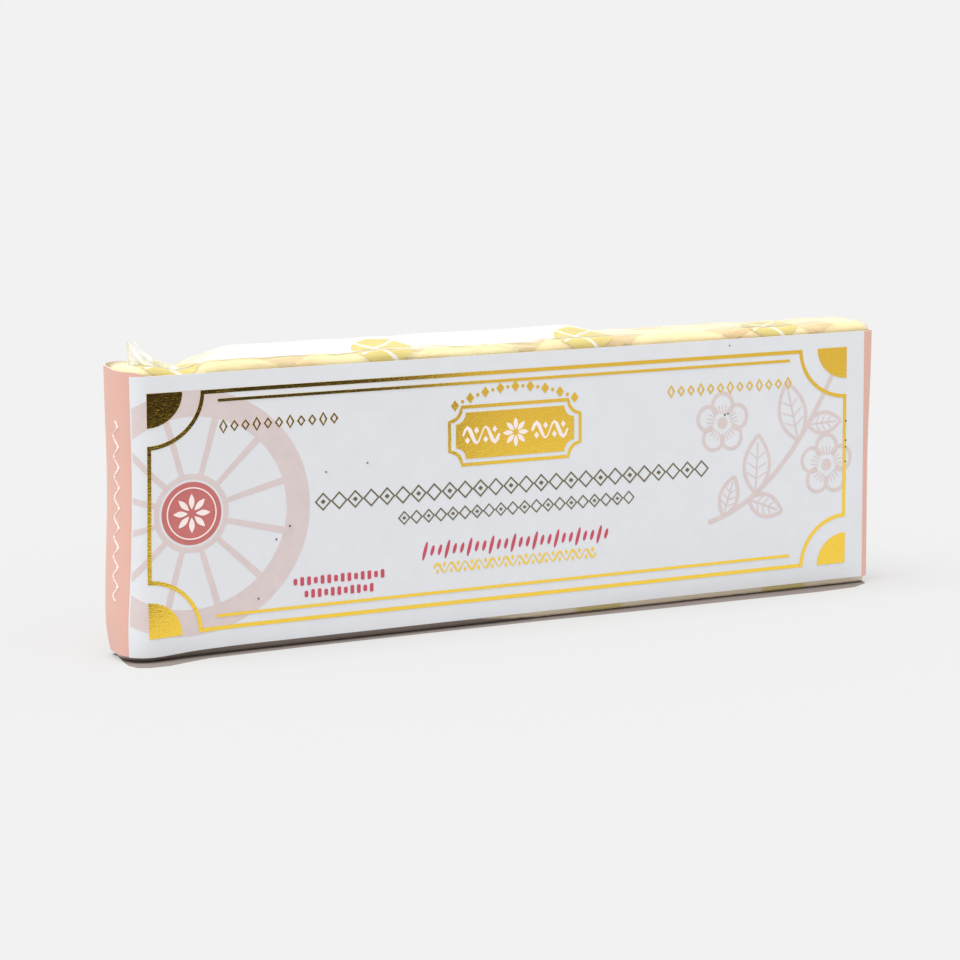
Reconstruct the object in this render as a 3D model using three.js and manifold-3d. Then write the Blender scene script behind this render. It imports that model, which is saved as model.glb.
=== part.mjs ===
// A soft almond nougat bar, sealed in thin clear film and held by a printed paper band.
// It stands on one of its long narrow edges. The paper goes round the front, both ends and
// the back, and leaves the film bare along the top and along the foot.
//
// Millimetres. +X runs along the bar to the right, -Y is the printed front, +Z is up.
import * as THREE from 'three';
import * as BufferGeometryUtils from 'three/addons/utils/BufferGeometryUtils.js';
import Module from 'manifold-3d';

// Driving dimensions of the paper band.
const BAND_LENGTH = 182.4;
const BAND_DEPTH = 14;
const BAND_HEIGHT = 56;
const PAPER = 0.4;
const CORNERS = { frontLeft: 6, frontRight: 2.5, backRight: 4, backLeft: 5 };
const CORNER_STEPS = 8;

// The band closes at the front left corner, where the cut edge of the front lies on a flap.
// Each sheet's edge is a step in the band's wall, STEP_SHARE of the way between two sections.
const FLAP_LENGTH = 12;
const STEP_SHARE = 0.3;
const LAP_RAMP = 9;
const FLAP_RISE = 0.8;
const END_RISE = 1.9;
const END_RISE_LENGTH = 16;

// Driving dimensions of the wrapped bar inside the band.
const CLEARANCE = 0.3;
const FOOT = 1.6;
const FOOT_ROUND = 1.3;
const BARE_TOP = 2;
const TOP_ROUND = 1.8;
const ROUND_SHARES = [0, 0.35, 0.7, 1];
const WALL_HEIGHTS = [4, 9, 16, 26];
const TOP_INSETS = [3.2, 4.6, 5.9];

// Spacing of the outline's points on the long sides, which is finer by the soft left end.
const FINE_LENGTH = 20;
const FINE_STEP = 2.5;
const BAR_STEP = 4.2;
const BAND_STEP = 9;
const END_PLACES = [0, 0.5, 1];
const LEAST_RADIUS = 0.2;

// The film stands up in one long soft crest, high over the left half and low over the right.
const CREST_LEFT = { height: 2.3, from: -75, to: 15 };
const CREST_RIGHT = { height: 0.6, from: 18, to: 86 };
const CREST_RAMP = 12;
const CREST_Y = 2.4;
const CREST_WIDTH = 3;
const DIP = { depth: 1.5, x: -77.5, width: 3.2 };
const WRINKLE = { height: 0.25, length: 17, skew: 0.55, beat: 0.37 };

// The soft left end bulges out a little. Its foot swells forward, sags, and tucks in at the
// back.
const BULGE = { depth: 0.9, z: 8, height: 22, length: 30 };
const SWELL = { depth: 0.9, sag: 0.45, x: -86, width: 5.4, height: 9 };
const TUCK = { depth: 1.3, length: 10, height: 3 };

// The twisted film corner that stands up at the left end of the top.
const EAR = { baseX: -84.6, tipX: -86.9, y: -1.4, bottom: -1.5, height: 4.6, sides: 20, rings: 6 };
const EAR_BASE = { x: 4.1, y: 2.4 };
const EAR_TIP = { x: 1.1, y: 0.6 };
const EAR_PLEATS = { count: 5, depth: 0.16 };
const EAR_HOLLOW = 1.4;

// Edges under this length, left where the film corner joins the top, are taken out.
const SHORTEST_EDGE = 0.02;

const BAND_BOTTOM = FOOT;
const BAND_TOP = FOOT + BAND_HEIGHT;
const TOP_LEVEL = BAND_TOP + BARE_TOP;
const FRONT = -BAND_DEPTH / 2;
const BACK = BAND_DEPTH / 2;
const END = BAND_LENGTH / 2;
const FLAP_TIP = -END + CORNERS.frontLeft + FLAP_LENGTH;
const BAND_LEVELS = [0, 3, 7, 12, 19, 30, BAND_HEIGHT].map((height) => BAND_BOTTOM + height);

const wasm = await Module();
wasm.setup();

function bell(distance, width) {
  return Math.exp(-0.5 * (distance / width) ** 2);
}

function smooth(value, from, to) {
  const t = Math.min(1, Math.max(0, (value - from) / (to - from)));
  return t * t * (3 - 2 * t);
}

// Moves a point of the neat pack to where the soft left end has carried it. The foot itself
// stays on the surface that it stands on.
function soften(x, y, z) {
  const nearEnd = 1 - smooth(x, -END, -END + BULGE.length);
  const outward = BULGE.depth * nearEnd * bell(z - BULGE.z, BULGE.height);
  const along = x > SWELL.x ? bell(x - SWELL.x, SWELL.width) : 1;
  const frontShare = along * ((BACK - y) / BAND_DEPTH);
  const forward = SWELL.depth * frontShare * bell(z - BAND_BOTTOM, SWELL.height);
  const low = 1 - smooth(z, BAND_BOTTOM, BAND_BOTTOM + SWELL.height);
  const down = SWELL.sag * frontShare * low * Math.min(1, z / BAND_BOTTOM);
  const atEnd = 1 - smooth(x, -END, -END + TUCK.length);
  const inward = TUCK.depth * atEnd * bell(z, TUCK.height) * ((y - FRONT) / BAND_DEPTH);
  return [x + inward - outward, y - forward, z - down];
}

// Distances along a long side from its left end, as fractions of its length.
function stations(length, step) {
  const fine = FINE_LENGTH / FINE_STEP;
  const coarse = Math.round((length - FINE_LENGTH) / step);
  const places = [];
  for (let k = 0; k < fine; k += 1) {
    places.push((k * FINE_STEP) / length);
  }
  for (let k = 0; k <= coarse; k += 1) {
    places.push((FINE_LENGTH + (k / coarse) * (length - FINE_LENGTH)) / length);
  }
  return places;
}

// Plan outline of the pack, counterclockwise from the left end of the front, moved in by
// inset. The long sides get a point about every step millimetres.
function planOutline(inset, step) {
  const halfLength = END - inset;
  const halfDepth = BACK - inset;
  const corners = [
    { radius: CORNERS.frontRight, x: 1, y: -1 },
    { radius: CORNERS.backRight, x: 1, y: 1 },
    { radius: CORNERS.backLeft, x: -1, y: 1 },
    { radius: CORNERS.frontLeft, x: -1, y: -1 },
  ];
  const arcs = corners.map((corner, number) => {
    const radius = Math.max(corner.radius - inset, LEAST_RADIUS * halfDepth);
    const middleX = corner.x * (halfLength - radius);
    const middleY = corner.y * (halfDepth - radius);
    const arc = [];
    for (let k = 0; k <= CORNER_STEPS; k += 1) {
      const angle = (number - 1 + k / CORNER_STEPS) * (Math.PI / 2);
      arc.push([middleX + radius * Math.cos(angle), middleY + radius * Math.sin(angle)]);
    }
    return arc;
  });
  const long = stations(BAND_LENGTH - 2 * CORNERS.frontLeft, step);
  const back = long.map((t) => 1 - t).reverse();
  const places = [long, END_PLACES, back, END_PLACES];
  const outline = [];
  places.forEach((side, number) => {
    const from = arcs[(number + 3) % 4].at(-1);
    const to = arcs[number][0];
    for (const t of side.slice(0, -1)) {
      outline.push([from[0] + t * (to[0] - from[0]), from[1] + t * (to[1] - from[1])]);
    }
    outline.push(...arcs[number].slice(0, -1));
  });
  return outline;
}

// Faces across a ring, as a ladder between its front and its back. The ring's station
// middle lies halfway round its right end.
function ladder(count, middle, base, upward) {
  const at = (station) => base + (((middle + station) % count) + count) % count;
  const faces = [];
  for (let k = 0; k < count / 2; k += 1) {
    faces.push([at(k), at(k + 1), at(-k - 1)], [at(k), at(-k - 1), at(-k)]);
  }
  const whole = faces.filter((face) => new Set(face).size === 3);
  return whole.flatMap(([a, b, c]) => (upward ? [a, b, c] : [c, b, a]));
}

// Joins rings of equal length into one closed mesh.
function loftRings(rings, middle) {
  const count = rings[0].length;
  const index = [];
  for (let ring = 0; ring < rings.length - 1; ring += 1) {
    for (let k = 0; k < count; k += 1) {
      const next = (k + 1) % count;
      const low = ring * count;
      const high = low + count;
      index.push(low + k, low + next, high + next);
      index.push(low + k, high + next, high + k);
    }
  }
  index.push(...ladder(count, middle, 0, false));
  index.push(...ladder(count, middle, (rings.length - 1) * count, true));
  return closedGeometry(rings.flat(), index);
}

function closedGeometry(points, index) {
  const geometry = new THREE.BufferGeometry();
  geometry.setAttribute('position', new THREE.Float32BufferAttribute(points.flat(), 3));
  geometry.setIndex(index);
  return geometry;
}

function toManifold(geometry) {
  const merged = BufferGeometryUtils.mergeVertices(geometry);
  const vertProperties = Float32Array.from(merged.attributes.position.array);
  const triVerts = Uint32Array.from(merged.index.array);
  return new wasm.Manifold(new wasm.Mesh({ numProp: 3, vertProperties, triVerts }));
}

function fromManifold(solid) {
  const mesh = solid.getMesh();
  const points = [];
  for (let k = 0; k < mesh.vertProperties.length; k += mesh.numProp) {
    points.push(Array.from(mesh.vertProperties.slice(k, k + 3)));
  }
  return closedGeometry(points, Array.from(mesh.triVerts));
}

// Height of the film's top, without the rounding along its edges.
function topHeight(x, y) {
  let height = TOP_LEVEL;
  for (const crest of [CREST_LEFT, CREST_RIGHT]) {
    const rise = smooth(x, crest.from, crest.from + CREST_RAMP);
    const fall = 1 - smooth(x, crest.to, crest.to + CREST_RAMP);
    height += crest.height * Math.min(rise, fall) * bell(y - CREST_Y, CREST_WIDTH);
  }
  height -= DIP.depth * bell(x - DIP.x, DIP.width);
  const phase = (2 * Math.PI * (x + WRINKLE.skew * y)) / WRINKLE.length;
  return height + WRINKLE.height * Math.sin(phase) * Math.cos(WRINKLE.beat * phase);
}

function wrappedBar() {
  const skin = PAPER + CLEARANCE;
  const rings = [];
  const ringAt = (inset, heightOf) => {
    const ring = planOutline(skin + inset, BAR_STEP);
    rings.push(ring.map(([x, y]) => soften(x, y, heightOf(x, y))));
  };
  for (const share of ROUND_SHARES) {
    const angle = (share * Math.PI) / 2;
    ringAt(FOOT_ROUND * (1 - Math.sin(angle)), () => FOOT_ROUND * (1 - Math.cos(angle)));
  }
  for (const height of WALL_HEIGHTS) {
    ringAt(0, () => BAND_BOTTOM + height);
  }
  for (const share of ROUND_SHARES) {
    const angle = (share * Math.PI) / 2;
    const drop = TOP_ROUND * (1 - Math.sin(angle));
    ringAt(TOP_ROUND * (1 - Math.cos(angle)), (x, y) => topHeight(x, y) - drop);
  }
  for (const inset of TOP_INSETS) {
    ringAt(inset, topHeight);
  }
  const frontStations = stations(BAND_LENGTH - 2 * CORNERS.frontLeft, BAR_STEP).length - 1;
  return loftRings(rings, frontStations + CORNER_STEPS + 1);
}

// A narrow pleated cone that leans to the left and sinks into the top of the bar.
function filmEar() {
  const rings = [];
  const bottom = TOP_LEVEL + EAR.bottom;
  for (let ring = 0; ring < EAR.rings; ring += 1) {
    const t = ring / (EAR.rings - 1);
    const taper = (1 - t) ** EAR_HOLLOW;
    const points = [];
    for (let k = 0; k < EAR.sides; k += 1) {
      const angle = (2 * Math.PI * k) / EAR.sides;
      const pleat = 1 + EAR_PLEATS.depth * Math.cos(EAR_PLEATS.count * angle);
      const radiusX = (EAR_TIP.x + (EAR_BASE.x - EAR_TIP.x) * taper) * pleat;
      const radiusY = (EAR_TIP.y + (EAR_BASE.y - EAR_TIP.y) * taper) * pleat;
      const x = EAR.baseX + (EAR.tipX - EAR.baseX) * t + radiusX * Math.cos(angle);
      const y = EAR.y + radiusY * Math.sin(angle);
      points.push([x, y, bottom + t * (EAR.height - EAR.bottom)]);
    }
    rings.push(points);
  }
  return loftRings(rings, 0);
}

// How far the flap's sheet stands above the front's upper edge: least on the flap, most at
// the back of the end, and nothing further along the back.
function sheetRise(x, y) {
  const onEnd = FLAP_RISE + (END_RISE - FLAP_RISE) * smooth(y, FRONT, BACK);
  const alongBack = smooth(x, -END + CORNERS.backLeft, -END + END_RISE_LENGTH);
  return y > 0 ? onEnd * (1 - alongBack) : onEnd;
}

// Places round the band where its section is given: on the neat outline, with the depths of
// its outer and inner face. The two sheets lie on each other from the cut edge to the flap tip.
function bandSections() {
  const neat = planOutline(0, BAND_STEP);
  const unit = planOutline(1, BAND_STEP);
  const cutEdge = neat.length - CORNER_STEPS / 2;
  const flapTip = neat.findIndex(([x]) => x >= FLAP_TIP);
  const middle = neat.findIndex(([x, y]) => x < 0 && y > 0);
  const sections = [];
  const add = (k, along, lapped, flapSheet) => {
    const next = (k + 1) % neat.length;
    const mix = (points, axis) => points[k][axis] + along * (points[next][axis] - points[k][axis]);
    const [x, y] = [mix(neat, 0), mix(neat, 1)];
    const inward = [mix(unit, 0) - x, mix(unit, 1) - y];
    const front = !flapSheet && y < 0;
    const proud = front ? PAPER * (1 - smooth(x, FLAP_TIP, FLAP_TIP + LAP_RAMP)) : 0;
    const innerDepth = lapped ? PAPER : PAPER - proud;
    const rise = flapSheet ? sheetRise(x, y) : 0;
    const at = (depth) => [x + depth * inward[0], y + depth * inward[1]];
    sections.push({ outer: at(-proud), inner: at(innerDepth), rise });
  };
  for (let k = 0; k < neat.length; k += 1) {
    const lapped = k >= cutEdge || k <= flapTip;
    add(k, 0, lapped, k >= middle && k < cutEdge);
    if (k === flapTip) {
      add(k, STEP_SHARE, false, false);
    }
    if (k === cutEdge - 1) {
      add(k, 1 - STEP_SHARE, false, true);
    }
  }
  return sections;
}

function paperBand() {
  const sections = bandSections();
  const count = sections.length;
  const rows = BAND_LEVELS.length;
  const points = [];
  for (const section of sections) {
    for (const level of BAND_LEVELS) {
      const height = level === BAND_TOP ? level + section.rise : level;
      points.push(soften(...section.outer, height), soften(...section.inner, height));
    }
  }
  const outer = (k, row) => 2 * ((k % count) * rows + row);
  const inner = (k, row) => outer(k, row) + 1;
  const index = [];
  const quad = (a, b, c, d) => index.push(a, b, c, a, c, d);
  for (let k = 0; k < count; k += 1) {
    for (let row = 0; row < rows - 1; row += 1) {
      quad(outer(k, row), outer(k + 1, row), outer(k + 1, row + 1), outer(k, row + 1));
      quad(inner(k + 1, row), inner(k, row), inner(k, row + 1), inner(k + 1, row + 1));
    }
    quad(outer(k, rows - 1), outer(k + 1, rows - 1), inner(k + 1, rows - 1), inner(k, rows - 1));
    quad(outer(k + 1, 0), outer(k, 0), inner(k, 0), inner(k + 1, 0));
  }
  return closedGeometry(points, index);
}

const filmLook = new THREE.MeshStandardMaterial({ color: 0xf6edc4, roughness: 0.18, metalness: 0 });
const paperLook = new THREE.MeshStandardMaterial({ color: 0xe6e6ea, roughness: 0.6, metalness: 0 });

const barSolid = toManifold(wrappedBar()).add(toManifold(filmEar())).simplify(SHORTEST_EDGE);
const bar = new THREE.Mesh(fromManifold(barSolid), filmLook);
bar.name = 'wrapped_nougat';

const band = new THREE.Mesh(paperBand(), paperLook);
band.name = 'paper_band';

const group = new THREE.Group();
group.add(bar, band);

// The origin is under the middle of the whole pack, on the surface it stands on.
const box = new THREE.Box3().setFromObject(group);
const centre = box.getCenter(new THREE.Vector3());
group.position.set(-centre.x, -centre.y, -box.min.z);

export default group;
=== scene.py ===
import itertools
import math
import random

import bmesh
import bpy
from bpy.props import FloatProperty, FloatVectorProperty, IntProperty, PointerProperty
from mathutils import Matrix, Vector, noise


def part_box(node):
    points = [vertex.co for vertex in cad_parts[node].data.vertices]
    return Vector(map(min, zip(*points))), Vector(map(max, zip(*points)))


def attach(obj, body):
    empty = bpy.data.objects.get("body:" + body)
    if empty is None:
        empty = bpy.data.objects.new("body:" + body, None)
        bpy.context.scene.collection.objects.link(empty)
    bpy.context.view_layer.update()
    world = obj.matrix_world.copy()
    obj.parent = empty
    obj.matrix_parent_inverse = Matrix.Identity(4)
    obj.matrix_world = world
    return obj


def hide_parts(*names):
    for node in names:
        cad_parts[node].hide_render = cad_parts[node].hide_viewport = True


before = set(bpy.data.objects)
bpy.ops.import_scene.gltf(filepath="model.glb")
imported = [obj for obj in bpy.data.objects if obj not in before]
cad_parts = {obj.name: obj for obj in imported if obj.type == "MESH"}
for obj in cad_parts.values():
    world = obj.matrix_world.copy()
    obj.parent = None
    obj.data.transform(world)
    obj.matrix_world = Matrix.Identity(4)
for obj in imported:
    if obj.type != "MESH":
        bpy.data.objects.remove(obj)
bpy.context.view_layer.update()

bl_info = {
    "name": "Nougat bar in a paper band",
    "version": (1, 0, 0),
    "blender": (4, 5, 0),
    "location": "View3D > Sidebar > Nougat bar",
    "description": "Builds a soft almond nougat bar in clear film, held by a printed paper band",
    "category": "Object",
}

BODY = "root"
MM = 0.001
BAND_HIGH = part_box("paper_band")[1]

# Sizes of the pack in millimetres. Every shape here is worked out in millimetres, in the neat
# frame of the pack, where the middle of the pack's depth is y = 0, and is moved at the end.
HALF_LENGTH = 91.2
HALF_DEPTH = 7.0
CORNER_FRONT_RIGHT = 2.5
CORNER_BACK_RIGHT = 4.0
CORNER_BACK_LEFT = 5.0
CORNER_FRONT_LEFT = 6.0

# The corners in turn from the front right: which way each lies along X and Y, and its radius.
CORNERS = (
    (1, -1, CORNER_FRONT_RIGHT),
    (1, 1, CORNER_BACK_RIGHT),
    (-1, 1, CORNER_BACK_LEFT),
    (-1, -1, CORNER_FRONT_LEFT),
)
SIDE_SHIFT = BAND_HIGH.x / MM - HALF_LENGTH
BACK_SHIFT = BAND_HIGH.y / MM - HALF_DEPTH
FOOT = 1.6
BAND_HEIGHT = 56.0
PAPER = 0.4

# The glued flap that lies under the front, and how far the left end's paper stands above the
# front's upper edge. It comes down again under the front.
FLAP_LENGTH = 12.0
LAP_RAMP = 9.0
FLAP_RISE = 0.8
END_RISE = 1.9
END_RISE_LENGTH = 16.0
RISE_FROM = 30.0
UNDER_FROM = 1.0
UNDER_TO = 4.0

# The soft left end, which bulges out and swells forward and sags at its foot, and is drawn in
# halfway up.
BULGE_DEPTH = 0.9
BULGE_Z = 8.0
BULGE_HEIGHT = 22.0
BULGE_LENGTH = 30.0
SAG = 0.45
SWELL_DEPTH = 0.9
SWELL_X = -86.0
SWELL_WIDTH = 5.4
SWELL_HEIGHT = 9.0
TUCK_DEPTH = 1.3
TUCK_LENGTH = 10.0
TUCK_HEIGHT = 3.0
WAIST_DEPTH = 0.65
WAIST_LENGTH = 6.7
WAIST_Z = 33.0
WAIST_HEIGHT = 12.0

# The right end opens a little towards its top.
FLARE_DEPTH = 0.9
FLARE_LENGTH = 2.5
FLARE_FROM = 26.0

# The wrapped bar inside the band.
SKIN = PAPER + 0.3
FOOT_ROUND = 1.3
TOP_ROUND = 1.8
TOP_LEVEL = FOOT + BAND_HEIGHT + 2.0
CRESTS = ((2.3, -75.0, 15.0), (0.6, 18.0, 86.0))
CREST_RAMP = 12.0
CREST_Y = 2.4
CREST_WIDTH = 3.0
DIP_DEPTH = 1.5
DIP_X = -77.5
DIP_WIDTH = 3.2

QUARTER = math.pi / 2

# Places along the flat paper, right of the front's middle. The front's cut edge lies in the
# round of the left corner, and isn't quite straight.
CORNER_START = -HALF_LENGTH + CORNER_FRONT_LEFT
CUT_EDGE = CORNER_START - CORNER_FRONT_LEFT * QUARTER / 2
CUT_MARGIN = 1.0
CUT_BEND = 4.0
CUT_BEND_HEIGHT = 20.0
CUT_SHIFT_HIGH = 0.35
CUT_SHIFT_LOW = -0.48
FLAP_TIP = CORNER_START + FLAP_LENGTH
PANEL_END = HALF_LENGTH - CORNER_FRONT_RIGHT

# Widths of the strips that the paper is made of, and the angle from which its edges are sharp.
ROUND_STEP = 0.6
RAMP_STEP = 1.0
RISE_STEP = 1.2
FLAT_STEP = 5.0
ROW_STEP = 2.5
PAPER_EDGE_ANGLE = 30


def srgb(red, green, blue):
    """A colour given as 0 to 255 in display values, as Blender's linear values."""
    shares = (value / 255 for value in (red, green, blue))
    return tuple(s / 12.92 if s <= 0.04045 else ((s + 0.055) / 1.055) ** 2.4 for s in shares)


def colour_property(name, description, default):
    return FloatVectorProperty(
        name=name, description=description, default=default, size=3, subtype="COLOR", min=0, max=1
    )


def length_property(name, description, default):
    return FloatProperty(name=name, description=description, default=default * MM, unit="LENGTH")


class BandSettings(bpy.types.PropertyGroup):
    thickness: length_property("Thickness", "Thickness of the paper", 0.34)
    panel: colour_property("Panel", "Colour of the front panel", srgb(227, 229, 233))
    blush: colour_property("Ends", "Colour of the ends, the back and the flap", srgb(227, 179, 164))
    inside: colour_property("Inside", "Colour of the paper's unprinted side", srgb(226, 214, 196))


class PrintSettings(bpy.types.PropertyGroup):
    gold: colour_property("Gold foil", "Colour of the stamped foil", srgb(255, 216, 84))
    olive: colour_property("Olive ink", "Colour of the two middle rows", srgb(112, 103, 74))
    rose: colour_property("Rose ink", "Colour of the small rose rows", srgb(196, 72, 92))
    disc: colour_property("Disc", "Colour of the round rose field", srgb(196, 108, 104))
    speck: colour_property("Specks", "Colour of the specks", srgb(84, 74, 62))
    white: colour_property("White ink", "Colour of the white ornaments", srgb(246, 232, 228))
    tint: colour_property("Pale ink", "Colour of the pale wheel and spray", srgb(214, 199, 197))
    line: length_property("Border line", "Width of the gold border's line", 0.8)
    rule: length_property("Inner rule", "Width of the two inner rules", 0.6)


class FilmSettings(bpy.types.PropertyGroup):
    thickness: length_property("Thickness", "Thickness of the film", 0.06)
    tint: colour_property("Film", "Tint of the clear film", srgb(255, 247, 202))
    printed: colour_property("Film print", "Colour of the patches on the film", srgb(233, 216, 136))
    pitch: length_property("Pitch", "Distance between the patches", 48.5)


class FoodSettings(bpy.types.PropertyGroup):
    nougat: colour_property("Nougat", "Colour of the nougat", srgb(254, 243, 200))
    almond: colour_property("Almond", "Colour of the almonds' skin", srgb(240, 210, 162))
    almond_length: length_property("Almond length", "Length of a whole almond", 15.0)
    almonds: IntProperty(name="Almonds", description="Almonds along one long edge", default=13)
    seed: IntProperty(name="Seed", description="Start of the random placing", default=7)


class StageSettings(bpy.types.PropertyGroup):
    floor: colour_property("Floor", "Colour of the floor", srgb(149, 149, 149))
    glow: FloatProperty(name="Glow", description="Brightness of the lit floor itself", default=0.43)
    world: FloatProperty(name="World", description="Brightness of the even light", default=0.888)
    sun: FloatProperty(name="Sun", description="Strength of the soft light from above", default=2.1)


def bell(distance, width):
    """1 at distance 0, and falling off softly on both sides over width."""
    return math.exp(-0.5 * (distance / width) ** 2)


def smooth(value, start, end):
    """0 up to start, 1 from end on, and a soft rise between them."""
    t = min(1.0, max(0.0, (value - start) / (end - start)))
    return t * t * (3 - 2 * t)


def soften(x, y, z):
    """Moves a point of the neat pack to where the soft ends have carried it."""
    near_end = 1 - smooth(x, -HALF_LENGTH, -HALF_LENGTH + BULGE_LENGTH)
    to_left = BULGE_DEPTH * near_end * bell(z - BULGE_Z, BULGE_HEIGHT)
    along = bell(x - SWELL_X, SWELL_WIDTH) if x > SWELL_X else 1.0
    front_share = along * (HALF_DEPTH - y) / (2 * HALF_DEPTH)
    forward = SWELL_DEPTH * front_share * bell(z - FOOT, SWELL_HEIGHT)
    low = 1 - smooth(z, FOOT, FOOT + SWELL_HEIGHT)
    down = SAG * front_share * low * min(1.0, max(0.0, z / FOOT))
    at_end = 1 - smooth(x, -HALF_LENGTH, -HALF_LENGTH + TUCK_LENGTH)
    to_right = TUCK_DEPTH * at_end * bell(z, TUCK_HEIGHT) * (y + HALF_DEPTH) / (2 * HALF_DEPTH)
    drawn_in = 1 - smooth(x, -HALF_LENGTH, -HALF_LENGTH + WAIST_LENGTH)
    to_right += WAIST_DEPTH * drawn_in * bell(z - WAIST_Z, WAIST_HEIGHT)
    opened = smooth(x, HALF_LENGTH - FLARE_LENGTH, HALF_LENGTH)
    to_right += FLARE_DEPTH * opened * smooth(z, FLARE_FROM, FOOT + BAND_HEIGHT)
    return x + to_right - to_left, y - forward, z - down


def placed(x, y, z):
    """A point of the neat pack in the frame, in metres."""
    x, y, z = soften(x, y, z)
    return Vector((x + SIDE_SHIFT, y + BACK_SHIFT, z)) * MM


def outline_stretches():
    """The neat outline from the middle of the front to the right, as straight and round parts."""
    stretches = []
    at = Vector((0.0, -HALF_DEPTH))
    for number, (side_x, side_y, radius) in enumerate(CORNERS):
        turn = (number - 1) * QUARTER
        facing = Vector((math.cos(turn), math.sin(turn)))
        centre = Vector((side_x * (HALF_LENGTH - radius), side_y * (HALF_DEPTH - radius)))
        corner = centre + radius * facing
        stretches.append(((corner - at).length, at, facing, None, 0.0))
        stretches.append((radius * QUARTER, centre, None, turn, radius))
        at = centre + radius * Vector((-facing.y, facing.x))
    stretches.append((-at.x, at, Vector((0.0, -1.0)), None, 0.0))
    return stretches


STRETCHES = outline_stretches()
PERIMETER = sum(stretch[0] for stretch in STRETCHES)


def outline_point(u):
    """The place on the outline u millimetres right of the front's middle, and its outward side."""
    u %= PERIMETER
    for length, at, facing, turn, radius in STRETCHES:
        if u <= length:
            break
        u -= length
    if facing is None:
        angle = turn + u / radius
        facing = Vector((math.cos(angle), math.sin(angle)))
        return at + radius * facing, facing
    return at + u * Vector((-facing.y, facing.x)), facing


def sheet_rise(u, x, y):
    """How far the upper edge of the paper stands above the front's edge."""
    if u < PERIMETER / 2:
        return 0.0
    on_end = FLAP_RISE + (END_RISE - FLAP_RISE) * smooth(y, -HALF_DEPTH, HALF_DEPTH)
    if y > 0:
        along_back = smooth(x, -HALF_LENGTH + CORNER_BACK_LEFT, -HALF_LENGTH + END_RISE_LENGTH)
        return on_end * (1 - along_back)
    past_cut = u - PERIMETER - CUT_EDGE
    return on_end * (1 - smooth(past_cut, UNDER_FROM, UNDER_TO))


def cut_shift(u, v):
    """How far right the paper's cut edge lies of its middle place: it is not quite straight."""
    if not CUT_EDGE - CUT_MARGIN < u < CUT_EDGE + CUT_BEND:
        return 0.0
    low_share = 1 - smooth(v, 0.0, CUT_BEND_HEIGHT)
    shift = CUT_SHIFT_HIGH + (CUT_SHIFT_LOW - CUT_SHIFT_HIGH) * low_share
    return shift * (1 - smooth(u, CUT_EDGE, CUT_EDGE + CUT_BEND))


def laid(u, v, lift):
    """Lays a point of the flat paper on the bar: u along it, v above its lower edge, lift
    outward. The sheet's own outer face is at lift 0."""
    at, facing = outline_point(u + cut_shift(u, v))
    proud = PAPER * (1 - smooth(u, FLAP_TIP, FLAP_TIP + LAP_RAMP)) if u < 0 else 0.0
    rise = sheet_rise(u, at.x, at.y) * max(0.0, (v - RISE_FROM) / (BAND_HEIGHT - RISE_FROM))
    place = at + (proud + lift) * facing
    return placed(place.x, place.y, FOOT + v + rise)


def spaced(start, end, step):
    """Places from start up to, and without, end, about step apart."""
    count = max(1, round((end - start) / step))
    return [start + (end - start) * k / count for k in range(count)]


def open_piece(name):
    """Starts an empty piece and opens it for modelling."""
    bpy.ops.object.select_all(action="DESELECT")
    bpy.ops.object.add(type="MESH")
    piece = bpy.context.object
    piece.name = name
    piece.data.name = name
    bpy.ops.object.mode_set(mode="EDIT")
    return piece


def close_piece(piece, body=BODY):
    """Ends the modelling of a piece, with its faces outward, and makes it ride on its body."""
    if piece.mode != "EDIT":
        bpy.ops.object.mode_set(mode="EDIT")
    bpy.ops.mesh.select_all(action="SELECT")
    bpy.ops.mesh.normals_make_consistent(inside=False)
    bpy.ops.object.mode_set(mode="OBJECT")
    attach(piece, body)


def add_modifier(piece, kind, **values):
    """Adds a modifier with these values and applies it."""
    if piece.mode == "EDIT":
        bpy.ops.object.mode_set(mode="OBJECT")
    modifier = piece.modifiers.new(kind.title(), kind)
    for key, value in values.items():
        setattr(modifier, key, value)
    bpy.ops.object.modifier_apply(modifier=modifier.name)


# Shapes of one print that cross lie in slightly different layers, taken in turn.
LAYER = 0.002
LAYER_COUNT = 17
LAYERS = itertools.cycle(range(LAYER_COUNT))


def move_selected(piece, places, by_rows=False, layer=0.0):
    """Moves the selected vertices of the open piece to these flat places, in the order they were
    made, or row by row from the lowest."""
    mesh = bmesh.from_edit_mesh(piece.data)
    points = [vertex for vertex in mesh.verts if vertex.select]
    if by_rows:
        points.sort(key=lambda vertex: (round(vertex.co.y, 4), vertex.co.x))
    for vertex, (u, v) in zip(points, places):
        vertex.co = (u, v, layer)
    bmesh.update_edit_mesh(piece.data)


def add_field(piece, outline):
    """Adds a flat field whose edge goes through these points."""
    bpy.ops.mesh.select_all(action="DESELECT")
    bpy.ops.mesh.primitive_circle_add(vertices=len(outline), radius=1.0, fill_type="NGON")
    move_selected(piece, outline, layer=LAYER * next(LAYERS))


def add_ribbon(piece, path, width):
    """Adds a flat ribbon along these points. width is a number, or a function of the share of
    the path."""
    bpy.ops.mesh.select_all(action="DESELECT")
    last = len(path) - 1
    bpy.ops.mesh.primitive_grid_add(x_subdivisions=last, y_subdivisions=1, size=2.0)
    points = [Vector(point) for point in path]
    low = []
    high = []
    for k, point in enumerate(points):
        ahead = points[min(k + 1, last)] - points[max(k - 1, 0)]
        if path[0] == path[-1] and k in (0, last):
            ahead = points[1] - points[last - 1]
        side = Vector((-ahead.y, ahead.x)).normalized()
        half = (width(k / last) if callable(width) else width) / 2
        low.append(point - half * side)
        high.append(point + half * side)
    move_selected(piece, low + high, by_rows=True, layer=LAYER * next(LAYERS))


def add_loop(piece, outline, width):
    """Adds a flat ribbon that goes round through these points and closes on itself."""
    add_ribbon(piece, [*outline, outline[0]], width)


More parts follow.
